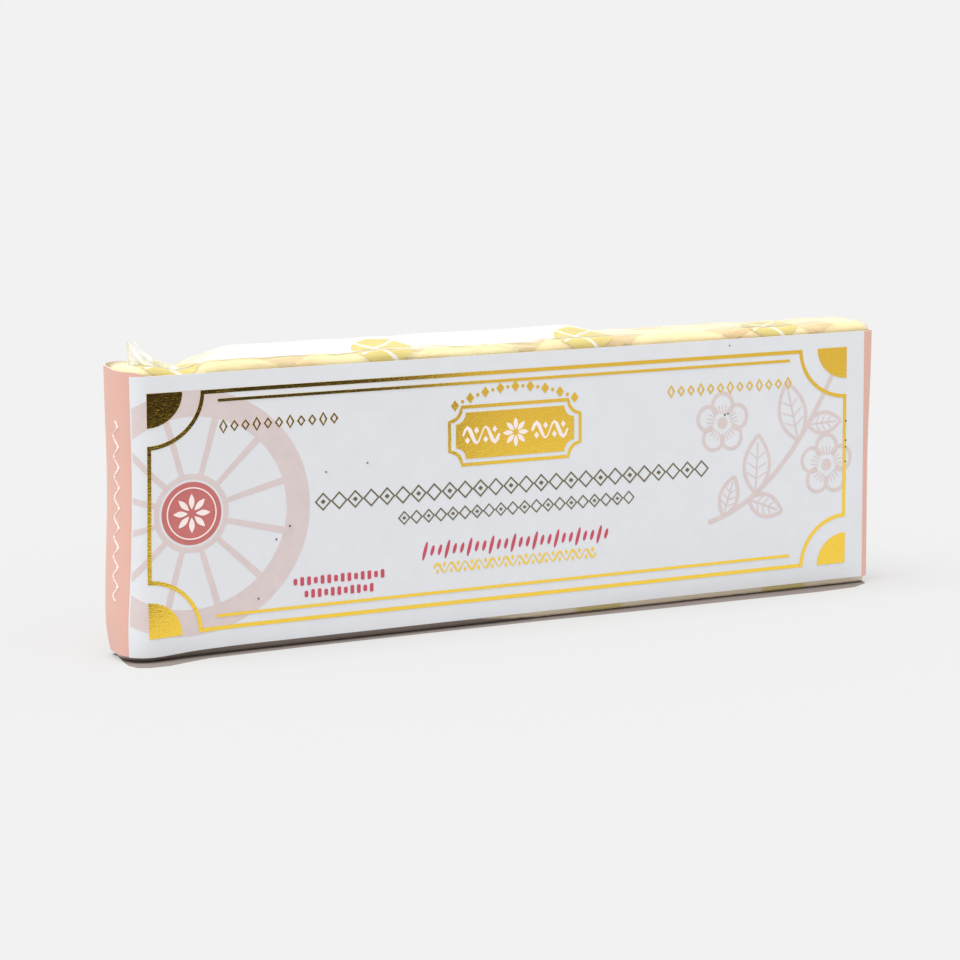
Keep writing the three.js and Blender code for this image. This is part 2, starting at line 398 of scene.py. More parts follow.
def add_wave(piece, start, end, height, waves, width):
    """Adds a waved line whose weight swells and thins."""
    start, end = Vector(start), Vector(end)
    side = Vector((start.y - end.y, end.x - start.x)).normalized() * height
    count = 8 * waves
    path = []
    for k in range(count + 1):
        path.append(start.lerp(end, k / count) + side * math.sin(k * QUARTER / 2))
    add_ribbon(piece, path, lambda share: width * (0.75 + 0.4 * math.sin(5 * waves * share)))


def arc_points(u, v, radius_u, radius_v, start, end, steps):
    """Points of an arc, with its angles in degrees."""
    angles = [math.radians(start + (end - start) * k / steps) for k in range(steps + 1)]
    return [(u + radius_u * math.cos(a), v + radius_v * math.sin(a)) for a in angles]


def oval_points(u, v, radius_u, radius_v, count):
    """Points round a whole circle or oval, each of them once."""
    return arc_points(u, v, radius_u, radius_v, 0, 360, count)[:-1]


def place_round(at, angle, radius_u, radius_v=None):
    """The place on a circle or an oval round another place, in this direction in degrees."""
    if radius_v is None:
        radius_v = radius_u
    return Vector(arc_points(*at, radius_u, radius_v, angle, angle, 1)[0])


def lozenge(u, v, half_u, half_v):
    """The four corners of a lozenge."""
    return [(u + half_u, v), (u, v + half_v), (u - half_u, v), (u, v - half_v)]


def lies_flat(u):
    """Whether the paper is level here, right of the flap and before the right corner."""
    return FLAP_TIP + LAP_RAMP <= u <= PANEL_END


def cut_across(piece):
    """Cuts the drawing along the lines where the paper beneath it bends."""
    mesh = bmesh.from_edit_mesh(piece.data)
    first = min(vertex.co.x for vertex in mesh.verts)
    last = max(vertex.co.x for vertex in mesh.verts)
    for u in paper_columns():
        if first < u < last and not lies_flat(u):
            bpy.ops.mesh.select_all(action="SELECT")
            bpy.ops.mesh.bisect(plane_co=(u, 0.0, 0.0), plane_no=(1.0, 0.0, 0.0))
    for v in paper_rows():
        bpy.ops.mesh.select_all(action="DESELECT")
        mesh = bmesh.from_edit_mesh(piece.data)
        for vertex in mesh.verts:
            vertex.select = not lies_flat(vertex.co.x)
        mesh.select_flush(True)
        bmesh.update_edit_mesh(piece.data)
        bpy.ops.mesh.bisect(plane_co=(0.0, v, 0.0), plane_no=(0.0, 1.0, 0.0))


def clip_left(at):
    """Takes away what lies left of a place on the flat paper, of the open piece."""
    bpy.ops.mesh.select_all(action="SELECT")
    bpy.ops.mesh.bisect(plane_co=(at, 0.0, 0.0), plane_no=(-1.0, 0.0, 0.0), clear_outer=True)


# How far a print stands out of the paper and how far it goes into it. Prints that lie on
# others stand out further.
PALE_PROUD = 0.02
INK_PROUD = 0.056
GOLD_PROUD = 0.075
WHITE_PROUD = 0.12
SPECK_PROUD = 0.13
INK_SUNK = 0.06


def print_on_band(piece, proud):
    """Gives the flat drawing its thickness and lays it on the paper."""
    cut_across(piece)
    add_modifier(piece, "SOLIDIFY", thickness=proud + INK_SUNK, offset=0.0)
    middle = (proud - INK_SUNK) / 2
    for vertex in piece.data.vertices:
        u, v, w = vertex.co
        vertex.co = laid(u, v, w + middle)
    close_piece(piece)


def finish_print(piece, ink, proud=INK_PROUD):
    """Lays the flat drawing on the paper in this ink, which ends a printing step."""
    print_on_band(piece, proud)
    piece.data.materials.append(ink)
    return {"FINISHED"}


def paper_columns():
    """Where the paper is creased into flat strips, close together round the corners."""
    ends = list(itertools.accumulate(stretch[0] for stretch in STRETCHES))
    back_start, back_end = ends[3:5]
    ends_and_steps = (
        (CORNER_START, ROUND_STEP),
        (FLAP_TIP + LAP_RAMP, RAMP_STEP),
        (PANEL_END, FLAT_STEP),
        (back_start, ROUND_STEP),
        (back_end - END_RISE_LENGTH, FLAT_STEP),
        (back_end, RISE_STEP),
        (PERIMETER + CORNER_START, ROUND_STEP),
        (PERIMETER + FLAP_TIP, RISE_STEP),
    )
    columns = []
    start = CUT_EDGE
    for end, step in ends_and_steps:
        columns += spaced(start, end, step)
        start = end
    return columns + [start]


def paper_rows():
    return spaced(0.0, BAND_HEIGHT, ROW_STEP) + [BAND_HEIGHT]


def make_paper(piece, thickness):
    """The paper is drawn flat, given its thickness, and wrapped round the bar."""
    columns = paper_columns()
    rows = paper_rows()
    bpy.ops.mesh.primitive_grid_add(
        x_subdivisions=len(columns) - 1, y_subdivisions=len(rows) - 1, size=2.0
    )
    move_selected(piece, [(u, v) for v in rows for u in columns], by_rows=True)
    add_modifier(piece, "SOLIDIFY", thickness=thickness, offset=-1.0)
    for face in piece.data.polygons:
        middle = sum((piece.data.vertices[k].co for k in face.vertices), Vector()) / 4
        on_panel = middle.x < PANEL_END
        face.material_index = 2
        if face.normal.z > 0.5:
            face.material_index = 0 if on_panel else 1
    for vertex in piece.data.vertices:
        vertex.co = laid(*vertex.co)


# Points of one ring of the bar on each long side, on each end and round each corner, and the
# point at the middle of the right end. Then the levels and insets of its rings.
RING_ALONG = 150
RING_ACROSS = 5
RING_AROUND = 8
RING_MIDDLE = RING_ALONG + RING_AROUND + RING_ACROSS // 2
ROUND_STEPS = 6
SIDE_LEVELS = (3.0, 6.0, 12.0, 20.0, 30.0, 40.0, 48.0, 54.0)
TOP_INSETS = (2.4, 3.0, 3.6, 4.2, 4.8, 5.4)
NOUGAT_INSET = 0.3
NOUGAT_LOWER = 0.3


def ring_outline(inset):
    """Plan outline of the pack, moved in by inset."""
    half_length = HALF_LENGTH - inset
    half_depth = HALF_DEPTH - inset
    arcs = []
    for number, (side_x, side_y, radius) in enumerate(CORNERS):
        radius = max(radius - inset, 0.2 * half_depth)
        centre = Vector((side_x * (half_length - radius), side_y * (half_depth - radius)))
        angles = [(number - 1 + k / RING_AROUND) * QUARTER for k in range(RING_AROUND + 1)]
        arcs.append([centre + radius * Vector((math.cos(a), math.sin(a))) for a in angles])
    outline = []
    for number, count in enumerate((RING_ALONG, RING_ACROSS, RING_ALONG, RING_ACROSS)):
        start = arcs[number - 1][-1]
        end = arcs[number][0]
        outline += [start.lerp(end, k / count) for k in range(count)]
        outline += arcs[number][:-1]
    return outline


def loft(piece, rings, middle):
    """Joins rings of points into a closed shell. Each end is closed by a ladder of faces that
    starts at the ring's point number middle."""
    bpy.ops.object.mode_set(mode="OBJECT")
    count = len(rings[0])
    faces = []
    for ring in range(len(rings) - 1):
        for k in range(count):
            low = ring * count
            after = (k + 1) % count
            faces.append((low + k, low + after, low + count + after, low + count + k))
    for base in (0, (len(rings) - 1) * count):
        for k in range(count // 2):
            corners = [(middle + step) % count for step in (k, k + 1, -k - 1, -k)]
            faces.append(tuple(base + c for c in dict.fromkeys(corners)))
    points = [point for ring in rings for point in ring]
    piece.data.from_pydata(points, [], [face for face in faces if len(face) > 2])
    piece.data.update()


def top_height(x, y):
    """Height of the film's top, without the rounding along its edges."""
    height = TOP_LEVEL
    for rise, start, end in CRESTS:
        up = smooth(x, start, start + CREST_RAMP)
        down = 1 - smooth(x, end, end + CREST_RAMP)
        height += rise * min(up, down) * bell(y - CREST_Y, CREST_WIDTH)
    return height - DIP_DEPTH * bell(x - DIP_X, DIP_WIDTH)


def crumple(x, y, z, size, amount):
    """A smooth uneven shift with humps about size apart."""
    return amount * noise.noise(Vector((x / size, y / size + 3.1, z / size + 7.7)))


# Size and height of the film's broad humps and of its fine wrinkles, and how far below the
# band's upper edge they start.
HUMPS = (9.0, 0.32)
WRINKLES = (2.6, 0.1)
UNEVEN_FROM = 2


def film_uneven(x, y, z):
    """How far the film stands out at a place: it is only uneven near the top."""
    if z < FOOT + BAND_HEIGHT - UNEVEN_FROM:
        return 0.0
    return crumple(x, y, z, *HUMPS) + crumple(0.5 * x, y, z, *WRINKLES)


def bar_rings(inset, lower):
    """Rings of a bar that fills the film, moved in by inset and with its top lower by lower."""
    steps = [k / ROUND_STEPS for k in range(ROUND_STEPS + 1)]
    rings = []

    def ring(extra, height):
        points = []
        for point in ring_outline(SKIN + inset + extra):
            z = height(point.x, point.y)
            shift = film_uneven(point.x, point.y, z)
            outward = shift if 0 < extra < TOP_ROUND else 0.5 * shift
            points.append(placed(point.x, point.y - outward, z + shift))
        rings.append(points)

    for share in steps:
        angle = share * QUARTER
        extra = FOOT_ROUND * (1 - math.sin(angle))
        ring(extra, lambda x, y: inset + FOOT_ROUND * (1 - math.cos(angle)))
    for height in SIDE_LEVELS:
        ring(0.0, lambda x, y: FOOT + height)
    for share in steps:
        angle = share * QUARTER
        drop = lower + TOP_ROUND * (1 - math.sin(angle))
        extra = TOP_ROUND * (1 - math.cos(angle))
        ring(extra, lambda x, y: top_height(x, y) - drop)
    for extra in TOP_INSETS:
        ring(extra, lambda x, y: top_height(x, y) - lower)
    return rings


# The patches printed on the film, in millimetres, how blunt they are along and across, and
# their soft edge as shares of their size.
FIRST_PATCH = -80.2
PATCH_LEVEL = 56.4
PATCH_HALF_LENGTH = 7.2
PATCH_HALF_WIDTH = 6.0
PATCH_BLUNT = (2.6, 1.4)
PATCH_EDGE = (1.0, 0.93)

# Other measures of the film for its material, in metres, with PATCH_WAVES per metre, and plain
# shares and slopes. An EDGE pair gives where a soft edge starts and where it ends.
PATCH_WAVES = 1400.0
PATCH_WAVE_HEIGHT = 0.0002
GLARE_SHIFT = 0.0012
GLARE_EDGE = (0.0003, 0.0009)
PRINT_IN_GLARE = 0.35
LOW_PATCH_SHIFT = 0.0025
LOW_PATCH_EDGE = (0.0066, 0.005)
LOW_EDGE = (0.0024, 0.0018)
LINE_SLOPES = (0.75, -1.3)
LINE_SHIFT = 0.0018
LINE_EDGE = (0.0008, 0.0001)
# Where the white highlight is painted on the film's top.
HIGHLIGHT_RAGGED = 0.0012
HIGHLIGHT_EDGE = ((TOP_LEVEL - 4.9) * MM, (TOP_LEVEL - 3.2) * MM)
HIGHLIGHT_LEFT_EDGE = (-0.084, -0.06)
HIGHLIGHT_RIGHT_EDGE = (0.034, 0.006)
HIGHLIGHT_AT_ENDS = 0.3
# Where the painted shade and painted light lie at the film's foot: shade on the left, light on the
# right.
FOOT_RIGHT_EDGE = (-0.035, 0.005)
FOOT_LEVEL = 0.0027
FOOT_FALL = -0.0029
FOOT_RAGGED = 0.0008
FOOT_EDGE = (0.00015, -0.00015)

# Colours of the film's plain places and of the nougat's streaks, the white of the painted highlight
# and of the print's lines, the painted shade and painted light at the film's foot, and how dense
# the film is.
STREAK = srgb(246, 226, 176)
FOOT_SHADE_COLOUR = srgb(142, 129, 121)
FOOT_LIGHT_COLOUR = srgb(255, 242, 216)
WHITE_FILM = srgb(255, 255, 252)
TAN = srgb(238, 208, 160)
CLEAR_DENSITY = 0.2
CREASE_DENSITY = 0.3
HIGHLIGHT_DENSITY = 0.85
PATCH_DENSITY = 0.76
LOW_PATCH_DENSITY = 0.85
FOOT_SHADE_DENSITY = 0.94
FOOT_LIGHT_DENSITY = 0.8

# Sizes of the fine patterns, as Blender's noise scales, and heights of the bumps in metres.
FIBRE_SCALE = 2600.0
CLOUD_SCALE = 220.0
CREASE_SCALE = 420.0
FOLD_SCALE = 300.0
FOIL_SCALE = 3600.0
STREAK_SCALE = 260.0
LUMP_SCALE = 180.0
CRUMB_SCALE = 1300.0
ALMOND_SCALE = 900.0
PAPER_BUMP = 0.00001
FOIL_BUMP = 0.000025
FILM_BUMP = 0.00005
NOUGAT_BUMP = 0.0001
ALMOND_BUMP = 0.0002


def new_group(name, inputs, outputs):
    """An empty node group with these sockets."""
    group = bpy.data.node_groups.new(name, "ShaderNodeTree")
    for socket, kind, default in inputs:
        made = group.interface.new_socket(socket, in_out="INPUT", socket_type=kind)
        made.default_value = default
    for socket, kind in outputs:
        group.interface.new_socket(socket, in_out="OUTPUT", socket_type=kind)
    return group


def add_node(tree, kind, inputs=(), **values):
    """A new node with these values or links on its inputs, and these settings."""
    node = tree.nodes.new(kind)
    for key, value in values.items():
        setattr(node, key, value)
    for key, value in inputs:
        if isinstance(value, bpy.types.NodeSocket):
            tree.links.new(value, node.inputs[key])
        else:
            node.inputs[key].default_value = value
    return node


def maths(tree, operation, *values):
    """The result of one step of arithmetic on these values."""
    return add_node(tree, "ShaderNodeMath", enumerate(values), operation=operation).outputs[0]


def stretched(tree, value, start, end):
    """value spread so that start gives 0 and end gives 1."""
    inputs = [("Value", value), ("From Min", start), ("From Max", end)]
    return add_node(tree, "ShaderNodeMapRange", inputs).outputs["Result"]


def mixed(tree, share, first, second):
    """The second colour laid over the first, as far as share says."""
    node = tree.nodes.new("ShaderNodeMix")
    node.data_type = "RGBA"
    for number, value in ((0, share), (6, first), (7, second)):
        if isinstance(value, bpy.types.NodeSocket):
            tree.links.new(value, node.inputs[number])
        elif number:
            node.inputs[number].default_value = (*value, 1.0)
        else:
            node.inputs[number].default_value = value
    return node.outputs[2]


def object_place(tree):
    return add_node(tree, "ShaderNodeTexCoord").outputs["Object"]


def drawn_place(tree, share):
    """The place on the object, squeezed along X so that a pattern there is drawn out."""
    inputs = [("Vector", object_place(tree)), ("Scale", (share, 1.0, 1.0))]
    return add_node(tree, "ShaderNodeMapping", inputs).outputs["Vector"]


def noise_value(tree, place, scale, detail=3.0, rough=0.55):
    inputs = [("Vector", place), ("Scale", scale), ("Detail", detail), ("Roughness", rough)]
    return add_node(tree, "ShaderNodeTexNoise", inputs).outputs["Fac"]


def fibre_group():
    """Fine fibres and a faint cloudy tone, for paper and for what is printed on it."""
    found = bpy.data.node_groups.get("fibre")
    if found:
        return found
    tree = new_group(
        "fibre",
        [("Scale", "NodeSocketFloat", 1.0)],
        [("Height", "NodeSocketFloat"), ("Tone", "NodeSocketFloat")],
    )
    scale = add_node(tree, "NodeGroupInput").outputs["Scale"]
    fine = noise_value(tree, drawn_place(tree, 0.35), maths(tree, "MULTIPLY", scale, FIBRE_SCALE))
    soft = noise_value(tree, object_place(tree), maths(tree, "MULTIPLY", scale, CLOUD_SCALE))
    height = maths(tree, "ADD", fine, maths(tree, "MULTIPLY", soft, 0.6))
    tone = stretched(tree, maths(tree, "MULTIPLY_ADD", fine, 0.35, soft), 0.45, 0.95)
    add_node(tree, "NodeGroupOutput", [("Height", height), ("Tone", tone)])
    return tree


def crease_group():
    """Fine long creases of thin film. Along squeezes the pattern, so that it is longest where
    Along is least."""
    found = bpy.data.node_groups.get("crease")
    if found:
        return found
    tree = new_group(
        "crease",
        [("Scale", "NodeSocketFloat", 1.0), ("Along", "NodeSocketVector", (0.22, 1.0, 1.0))],
        [("Height", "NodeSocketFloat"), ("Crease", "NodeSocketFloat"), ("Tone", "NodeSocketFloat")],
    )
    scale = add_node(tree, "NodeGroupInput").outputs["Scale"]
    along = add_node(tree, "NodeGroupInput").outputs["Along"]
    drawn = add_node(
        tree, "ShaderNodeVectorMath", [(0, object_place(tree)), (1, along)], operation="MULTIPLY"
    ).outputs["Vector"]
    cells = add_node(
        tree,
        "ShaderNodeTexVoronoi",
        [("Vector", drawn), ("Scale", maths(tree, "MULTIPLY", scale, CREASE_SCALE))],
        feature="DISTANCE_TO_EDGE",
    ).outputs["Distance"]
    soft = noise_value(tree, drawn, maths(tree, "MULTIPLY", scale, FOLD_SCALE))
    line = stretched(tree, cells, 0.12, 0.0)
    crease = maths(tree, "MULTIPLY", line, stretched(tree, soft, 0.42, 0.6))
    height = maths(tree, "MULTIPLY_ADD", crease, 0.4, soft)
    add_node(tree, "NodeGroupOutput", [("Height", height), ("Crease", crease), ("Tone", soft)])
    return tree


def placed_group(tree, group, **values):
    node = tree.nodes.new("ShaderNodeGroup")
    node.node_tree = group
    for key, value in values.items():
        node.inputs[key].default_value = value
    return node.outputs


def new_material(name, roughness, metallic=0.0):
    """A material with a Principled shader, its node tree and the shader."""
    material = bpy.data.materials.new(name)
    material.use_nodes = True
    shader = material.node_tree.nodes["Principled BSDF"]
    shader.inputs["Roughness"].default_value = roughness
    shader.inputs["Metallic"].default_value = metallic
    return material, material.node_tree, shader


def bump(tree, shader, height, distance):
    inputs = [("Height", height), ("Distance", distance), ("Strength", 1.0)]
    node = add_node(tree, "ShaderNodeBump", inputs)
    tree.links.new(node.outputs["Normal"], shader.inputs["Normal"])


def paper_material(name, colour, roughness=0.42):
    """Smooth coated paper with faint fibres."""
    material, tree, shader = new_material(name, roughness)
    fibre = placed_group(tree, fibre_group())
    darker = tuple(0.965 * value for value in colour)
    tree.links.new(mixed(tree, fibre["Tone"], darker, colour), shader.inputs["Base Color"])
    tree.links.new(
        maths(tree, "MULTIPLY_ADD", fibre["Tone"], 0.08, roughness - 0.04),
        shader.inputs["Roughness"],
    )
    bump(tree, shader, fibre["Height"], PAPER_BUMP)
    return material


def ink_material(name, colour, metallic=0.0, roughness=0.45):
    """Ink that lets a little of the paper's tone through."""
    material, tree, shader = new_material(name, roughness, metallic)
    fibre = placed_group(tree, fibre_group(), Scale=1.6)
    lighter = tuple(min(1.0, 1.08 * value + 0.006) for value in colour)
    tree.links.new(mixed(tree, fibre["Tone"], colour, lighter), shader.inputs["Base Color"])
    bump(tree, shader, fibre["Height"], PAPER_BUMP)
    return material


def foil_material(colour):
    """Stamped gold foil, pressed into the paper's grain."""
    material, tree, shader = new_material("gold_foil", 0.2, 1.0)
    grain = noise_value(tree, drawn_place(tree, 0.3), FOIL_SCALE, detail=4.0, rough=0.6)
    darker = tuple(a * b for a, b in zip(colour, (0.93, 0.83, 0.7)))
    fleck = stretched(tree, grain, 0.3, 0.42)
    tree.links.new(mixed(tree, fleck, darker, colour), shader.inputs["Base Color"])
    tree.links.new(stretched(tree, grain, 0.05, 3.4), shader.inputs["Roughness"])
    bump(tree, shader, grain, FOIL_BUMP)
    return material


def film_print_masks(tree, place, pitch):
    """Where the film is printed: a row of pointed patches over the top's front edge, with two
    thin white lines that cross in each, and of patches at the foot."""
    first = (FIRST_PATCH + SIDE_SHIFT - 0.5 * pitch / MM) * MM
    along = maths(tree, "SUBTRACT", place["X"], first)
    along = maths(tree, "SUBTRACT", maths(tree, "MODULO", along, pitch), pitch / 2)
    across = maths(tree, "ADD", place["Y"], place["Z"])
    across = maths(tree, "SUBTRACT", across, (PATCH_LEVEL + BACK_SHIFT) * MM)
    wave = maths(tree, "SINE", maths(tree, "MULTIPLY", place["X"], PATCH_WAVES))
    across = maths(tree, "MULTIPLY_ADD", wave, PATCH_WAVE_HEIGHT, across)
    far_u = maths(tree, "DIVIDE", maths(tree, "ABSOLUTE", along), PATCH_HALF_LENGTH * MM)
    far_v = maths(tree, "DIVIDE", maths(tree, "ABSOLUTE", across), PATCH_HALF_WIDTH * MM)
    far_u = maths(tree, "POWER", far_u, PATCH_BLUNT[0])
    far_v = maths(tree, "POWER", far_v, PATCH_BLUNT[1])
    patch = stretched(tree, maths(tree, "ADD", far_u, far_v), *PATCH_EDGE)
    # Along the crest the print is faded, under the painted highlight.
    off_glare = maths(tree, "ABSOLUTE", maths(tree, "ADD", across, GLARE_SHIFT))
    kept = stretched(tree, off_glare, *GLARE_EDGE)
    kept = maths(tree, "MULTIPLY_ADD", kept, 1 - PRINT_IN_GLARE, PRINT_IN_GLARE)
    patch = maths(tree, "MULTIPLY", patch, kept)
    at_foot = maths(tree, "ABSOLUTE", maths(tree, "SUBTRACT", along, LOW_PATCH_SHIFT))
    at_foot = stretched(tree, at_foot, *LOW_PATCH_EDGE)
    at_foot = maths(tree, "MULTIPLY", at_foot, stretched(tree, place["Z"], *LOW_EDGE))
    at_foot = maths(tree, "MULTIPLY", at_foot, LOW_PATCH_DENSITY)
    patch = maths(tree, "MAXIMUM", patch, at_foot)
    lines = 0.0
    for slope in LINE_SLOPES:
        slant = maths(tree, "MULTIPLY_ADD", across, slope, along)
        gap = maths(tree, "ABSOLUTE", maths(tree, "ADD", slant, LINE_SHIFT))
        lines = maths(tree, "MAXIMUM", stretched(tree, gap, *LINE_EDGE), lines)
    return patch, maths(tree, "MULTIPLY", patch, lines)


def film_top_highlight_mask(tree, place, tone):
    """The level top of the film, where a white highlight is painted, less so at the ends."""
    off_middle = maths(tree, "ABSOLUTE", maths(tree, "SUBTRACT", place["Y"], BACK_SHIFT * MM))
    inner = maths(tree, "SUBTRACT", place["Z"], off_middle)
    inner = maths(tree, "MULTIPLY_ADD", stretched(tree, tone, 0.4, 0.6), HIGHLIGHT_RAGGED, inner)
    left = stretched(tree, place["X"], *HIGHLIGHT_LEFT_EDGE)
    right = stretched(tree, place["X"], *HIGHLIGHT_RIGHT_EDGE)
    highlight_share = maths(tree, "MULTIPLY", left, right)
    highlight_share = maths(tree, "MULTIPLY_ADD", highlight_share, 1 - HIGHLIGHT_AT_ENDS, HIGHLIGHT_AT_ENDS)
    return maths(tree, "MULTIPLY", stretched(tree, inner, *HIGHLIGHT_EDGE), highlight_share)


def film_foot_shade_and_light_masks(tree, place):
    """How much of the film here takes the painted shade of the foot, which reaches higher on the
    left, and how much the painted light of the foot on the right."""
    ragged = noise_value(tree, object_place(tree), CREASE_SCALE, detail=4.0)
    to_right = stretched(tree, place["X"], *FOOT_RIGHT_EDGE)
    edge = maths(tree, "MULTIPLY_ADD", to_right, FOOT_FALL, FOOT_LEVEL)
    edge = maths(tree, "MULTIPLY_ADD", ragged, FOOT_RAGGED, edge)
    above = maths(tree, "SUBTRACT", place["Z"], edge)
    pale = maths(tree, "MULTIPLY", to_right, stretched(tree, place["Z"], *LOW_EDGE))
    return stretched(tree, above, *FOOT_EDGE), pale


def film_material(tint, printed, pitch):
    """Clear glossy film with printed patches, a painted white highlight on its top, and at its
    foot painted shade on the left and painted light on the right."""
    material, tree, shader = new_material("clear_film", 0.14)
    place = add_node(tree, "ShaderNodeSeparateXYZ", [("Vector", object_place(tree))]).outputs
    crease = placed_group(tree, crease_group())
    patch, lines = film_print_masks(tree, place, pitch)
    top_highlight = film_top_highlight_mask(tree, place, crease["Tone"])
    foot, pale = film_foot_shade_and_light_masks(tree, place)
    colour = mixed(tree, stretched(tree, crease["Tone"], 0.36, 0.52), STREAK, tint)
    # A white highlight is painted over the film's top.
    colour = mixed(tree, top_highlight, colour, WHITE_FILM)
    # Painted light brightens the foot on the right.
    colour = mixed(tree, pale, colour, FOOT_LIGHT_COLOUR)
    colour = mixed(tree, patch, colour, printed)
    colour = mixed(tree, lines, colour, WHITE_FILM)
    # Painted shade darkens the foot on the left.
    tree.links.new(mixed(tree, foot, colour, FOOT_SHADE_COLOUR), shader.inputs["Base Color"])
    alpha = maths(tree, "MULTIPLY_ADD", crease["Crease"], CREASE_DENSITY, CLEAR_DENSITY)
    top_highlight = maths(tree, "MULTIPLY", top_highlight, stretched(tree, crease["Tone"], 0.2, 0.55))
    # The painted highlight and the painted shade and light at the foot also make the film denser
    # there.
    dense_places = (
        (top_highlight, HIGHLIGHT_DENSITY),
        (patch, PATCH_DENSITY),
        (foot, FOOT_SHADE_DENSITY),
        (pale, FOOT_LIGHT_DENSITY),
    )
    for mask, density in dense_places:
        alpha = maths(tree, "MAXIMUM", alpha, maths(tree, "MULTIPLY", mask, density))
    tree.links.new(alpha, shader.inputs["Alpha"])
    bump(tree, shader, crease["Height"], FILM_BUMP)
    return material


def ear_material(tint):
    """The same film gathered in upright folds, whiter in uneven patches."""
    material, tree, shader = new_material("gathered_film", 0.14)
    crease = placed_group(tree, crease_group(), Scale=1.6, Along=(1.0, 1.0, 0.12))
    tone = stretched(tree, crease["Tone"], 0.4, 0.6)
    tree.links.new(mixed(tree, tone, tint, WHITE_FILM), shader.inputs["Base Color"])
    alpha = maths(tree, "MULTIPLY_ADD", tone, 0.4, 0.5)
    tree.links.new(alpha, shader.inputs["Alpha"])
    bump(tree, shader, crease["Height"], 2 * FILM_BUMP)
    return material


def food_material(name, roughness):
    """A material with a thin shine, as the film that lies on it gives it."""
    material, tree, shader = new_material(name, roughness)
    shader.inputs["Coat Weight"].default_value = 0.7
    shader.inputs["Coat Roughness"].default_value = 0.12
    return material, tree, shader


def nougat_material(colour):
    """Soft pale nougat with long tan streaks."""
    material, tree, shader = food_material("nougat", 0.6)
    streak = noise_value(tree, drawn_place(tree, 0.25), STREAK_SCALE, detail=4.0)
    soft = noise_value(tree, object_place(tree), LUMP_SCALE)
    fine = noise_value(tree, object_place(tree), CRUMB_SCALE, detail=4.0)
    tan = stretched(tree, streak, 0.44, 0.32)
    tree.links.new(mixed(tree, tan, colour, TAN), shader.inputs["Base Color"])
    bump(tree, shader, maths(tree, "ADD", soft, fine), NOUGAT_BUMP)
    return material


def almond_material(colour):
    """Pale tan almond skin with a fine uneven grain."""
    material, tree, shader = food_material("almond", 0.5)
    grain = noise_value(tree, object_place(tree), ALMOND_SCALE, detail=5.0)
    darker = tuple(0.72 * value for value in colour)
    tree.links.new(mixed(tree, grain, darker, colour), shader.inputs["Base Color"])
    bump(tree, shader, grain, ALMOND_BUMP)
    return material


class NOUGAT_OT_paper_band(bpy.types.Operator):
    """Wraps the printed paper round the bar, with its flap under the front"""

    bl_idname = "nougat.paper_band"
    bl_label = "Paper band"

    def execute(self, context):
        settings = context.scene.nougat_band
        piece = open_piece("paper_sleeve")
        piece.data.materials.append(paper_material("paper_panel", settings.panel))
        piece.data.materials.append(paper_material("paper_blush", settings.blush))
        piece.data.materials.append(paper_material("paper_inside", settings.inside, 0.8))
        make_paper(piece, settings.thickness / MM)
        close_piece(piece)
        bpy.ops.object.shade_smooth_by_angle(angle=math.radians(PAPER_EDGE_ANGLE))
        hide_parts("paper_band")
        return {"FINISHED"}


# Places of the print on the flat paper, in millimetres right of the front's middle and above
# the paper's lower edge.
PRINT_SHIFT = -1.2
BORDER_HALF = 85.1
BORDER_LOW = 3.6
BORDER_HIGH = 52.6
BORDER_CUT_U = 12.4
BORDER_CUT_V = 11.4
QUARTER_U = 7.6
QUARTER_V = 6.95
RULES = ((-69.5, 69.4, 50.35), (-70.4, 69.6, 6.5))
CORNER_SHARES = {(-1, 1): 0.92, (1, -1): 1.04}
PLAQUE_AT = (PRINT_SHIFT - 0.7, 39.2)
PLAQUE_SIZE = (14.4, 4.9, 2.4)
PLAQUE_EDGE_SIZE = (15.95, 6.1, 2.9)
PLAQUE_EDGE_WIDTH = 0.7
BEAD_PAIRS = 8
BEAD_REACH = 14.6
BEAD_TOP = 49.0
BEAD_FALL = 3.3
BEAD_RADIUS = 0.38
BEAD_LOZENGE = (0.95, 1.15)
GOLD_ROWS = ((-68.6, -43.6, 45.0), (38.4, 69.2, 45.4))
GOLD_ROW_PITCH = 2.6
GOLD_ROW_HALF_WIDTH = 0.75
GOLD_ROW_HALF_HEIGHTS = (1.25, 0.95, 0.95)
GOLD_ROW_LINE = 0.4
GOLD_WAVE = (-20.6, 19.2, 11.7)
GOLD_WAVES = 12
GOLD_WAVE_HEIGHT = 1.0
GOLD_WAVE_LINE = 0.42
GOLD_SEED = (0.36, 0.5)
GOLD_SEED_OFF = 0.75


def border_corners():
    """The border's four corners, which way its inside lies from each, and how long each is."""
    for side_u in (-1, 1):
        for side_v, v in ((1, BORDER_LOW), (-1, BORDER_HIGH)):
            share = CORNER_SHARES.get((side_u, side_v), 1.0)
            yield PRINT_SHIFT + side_u * BORDER_HALF, v, -side_u, side_v, share


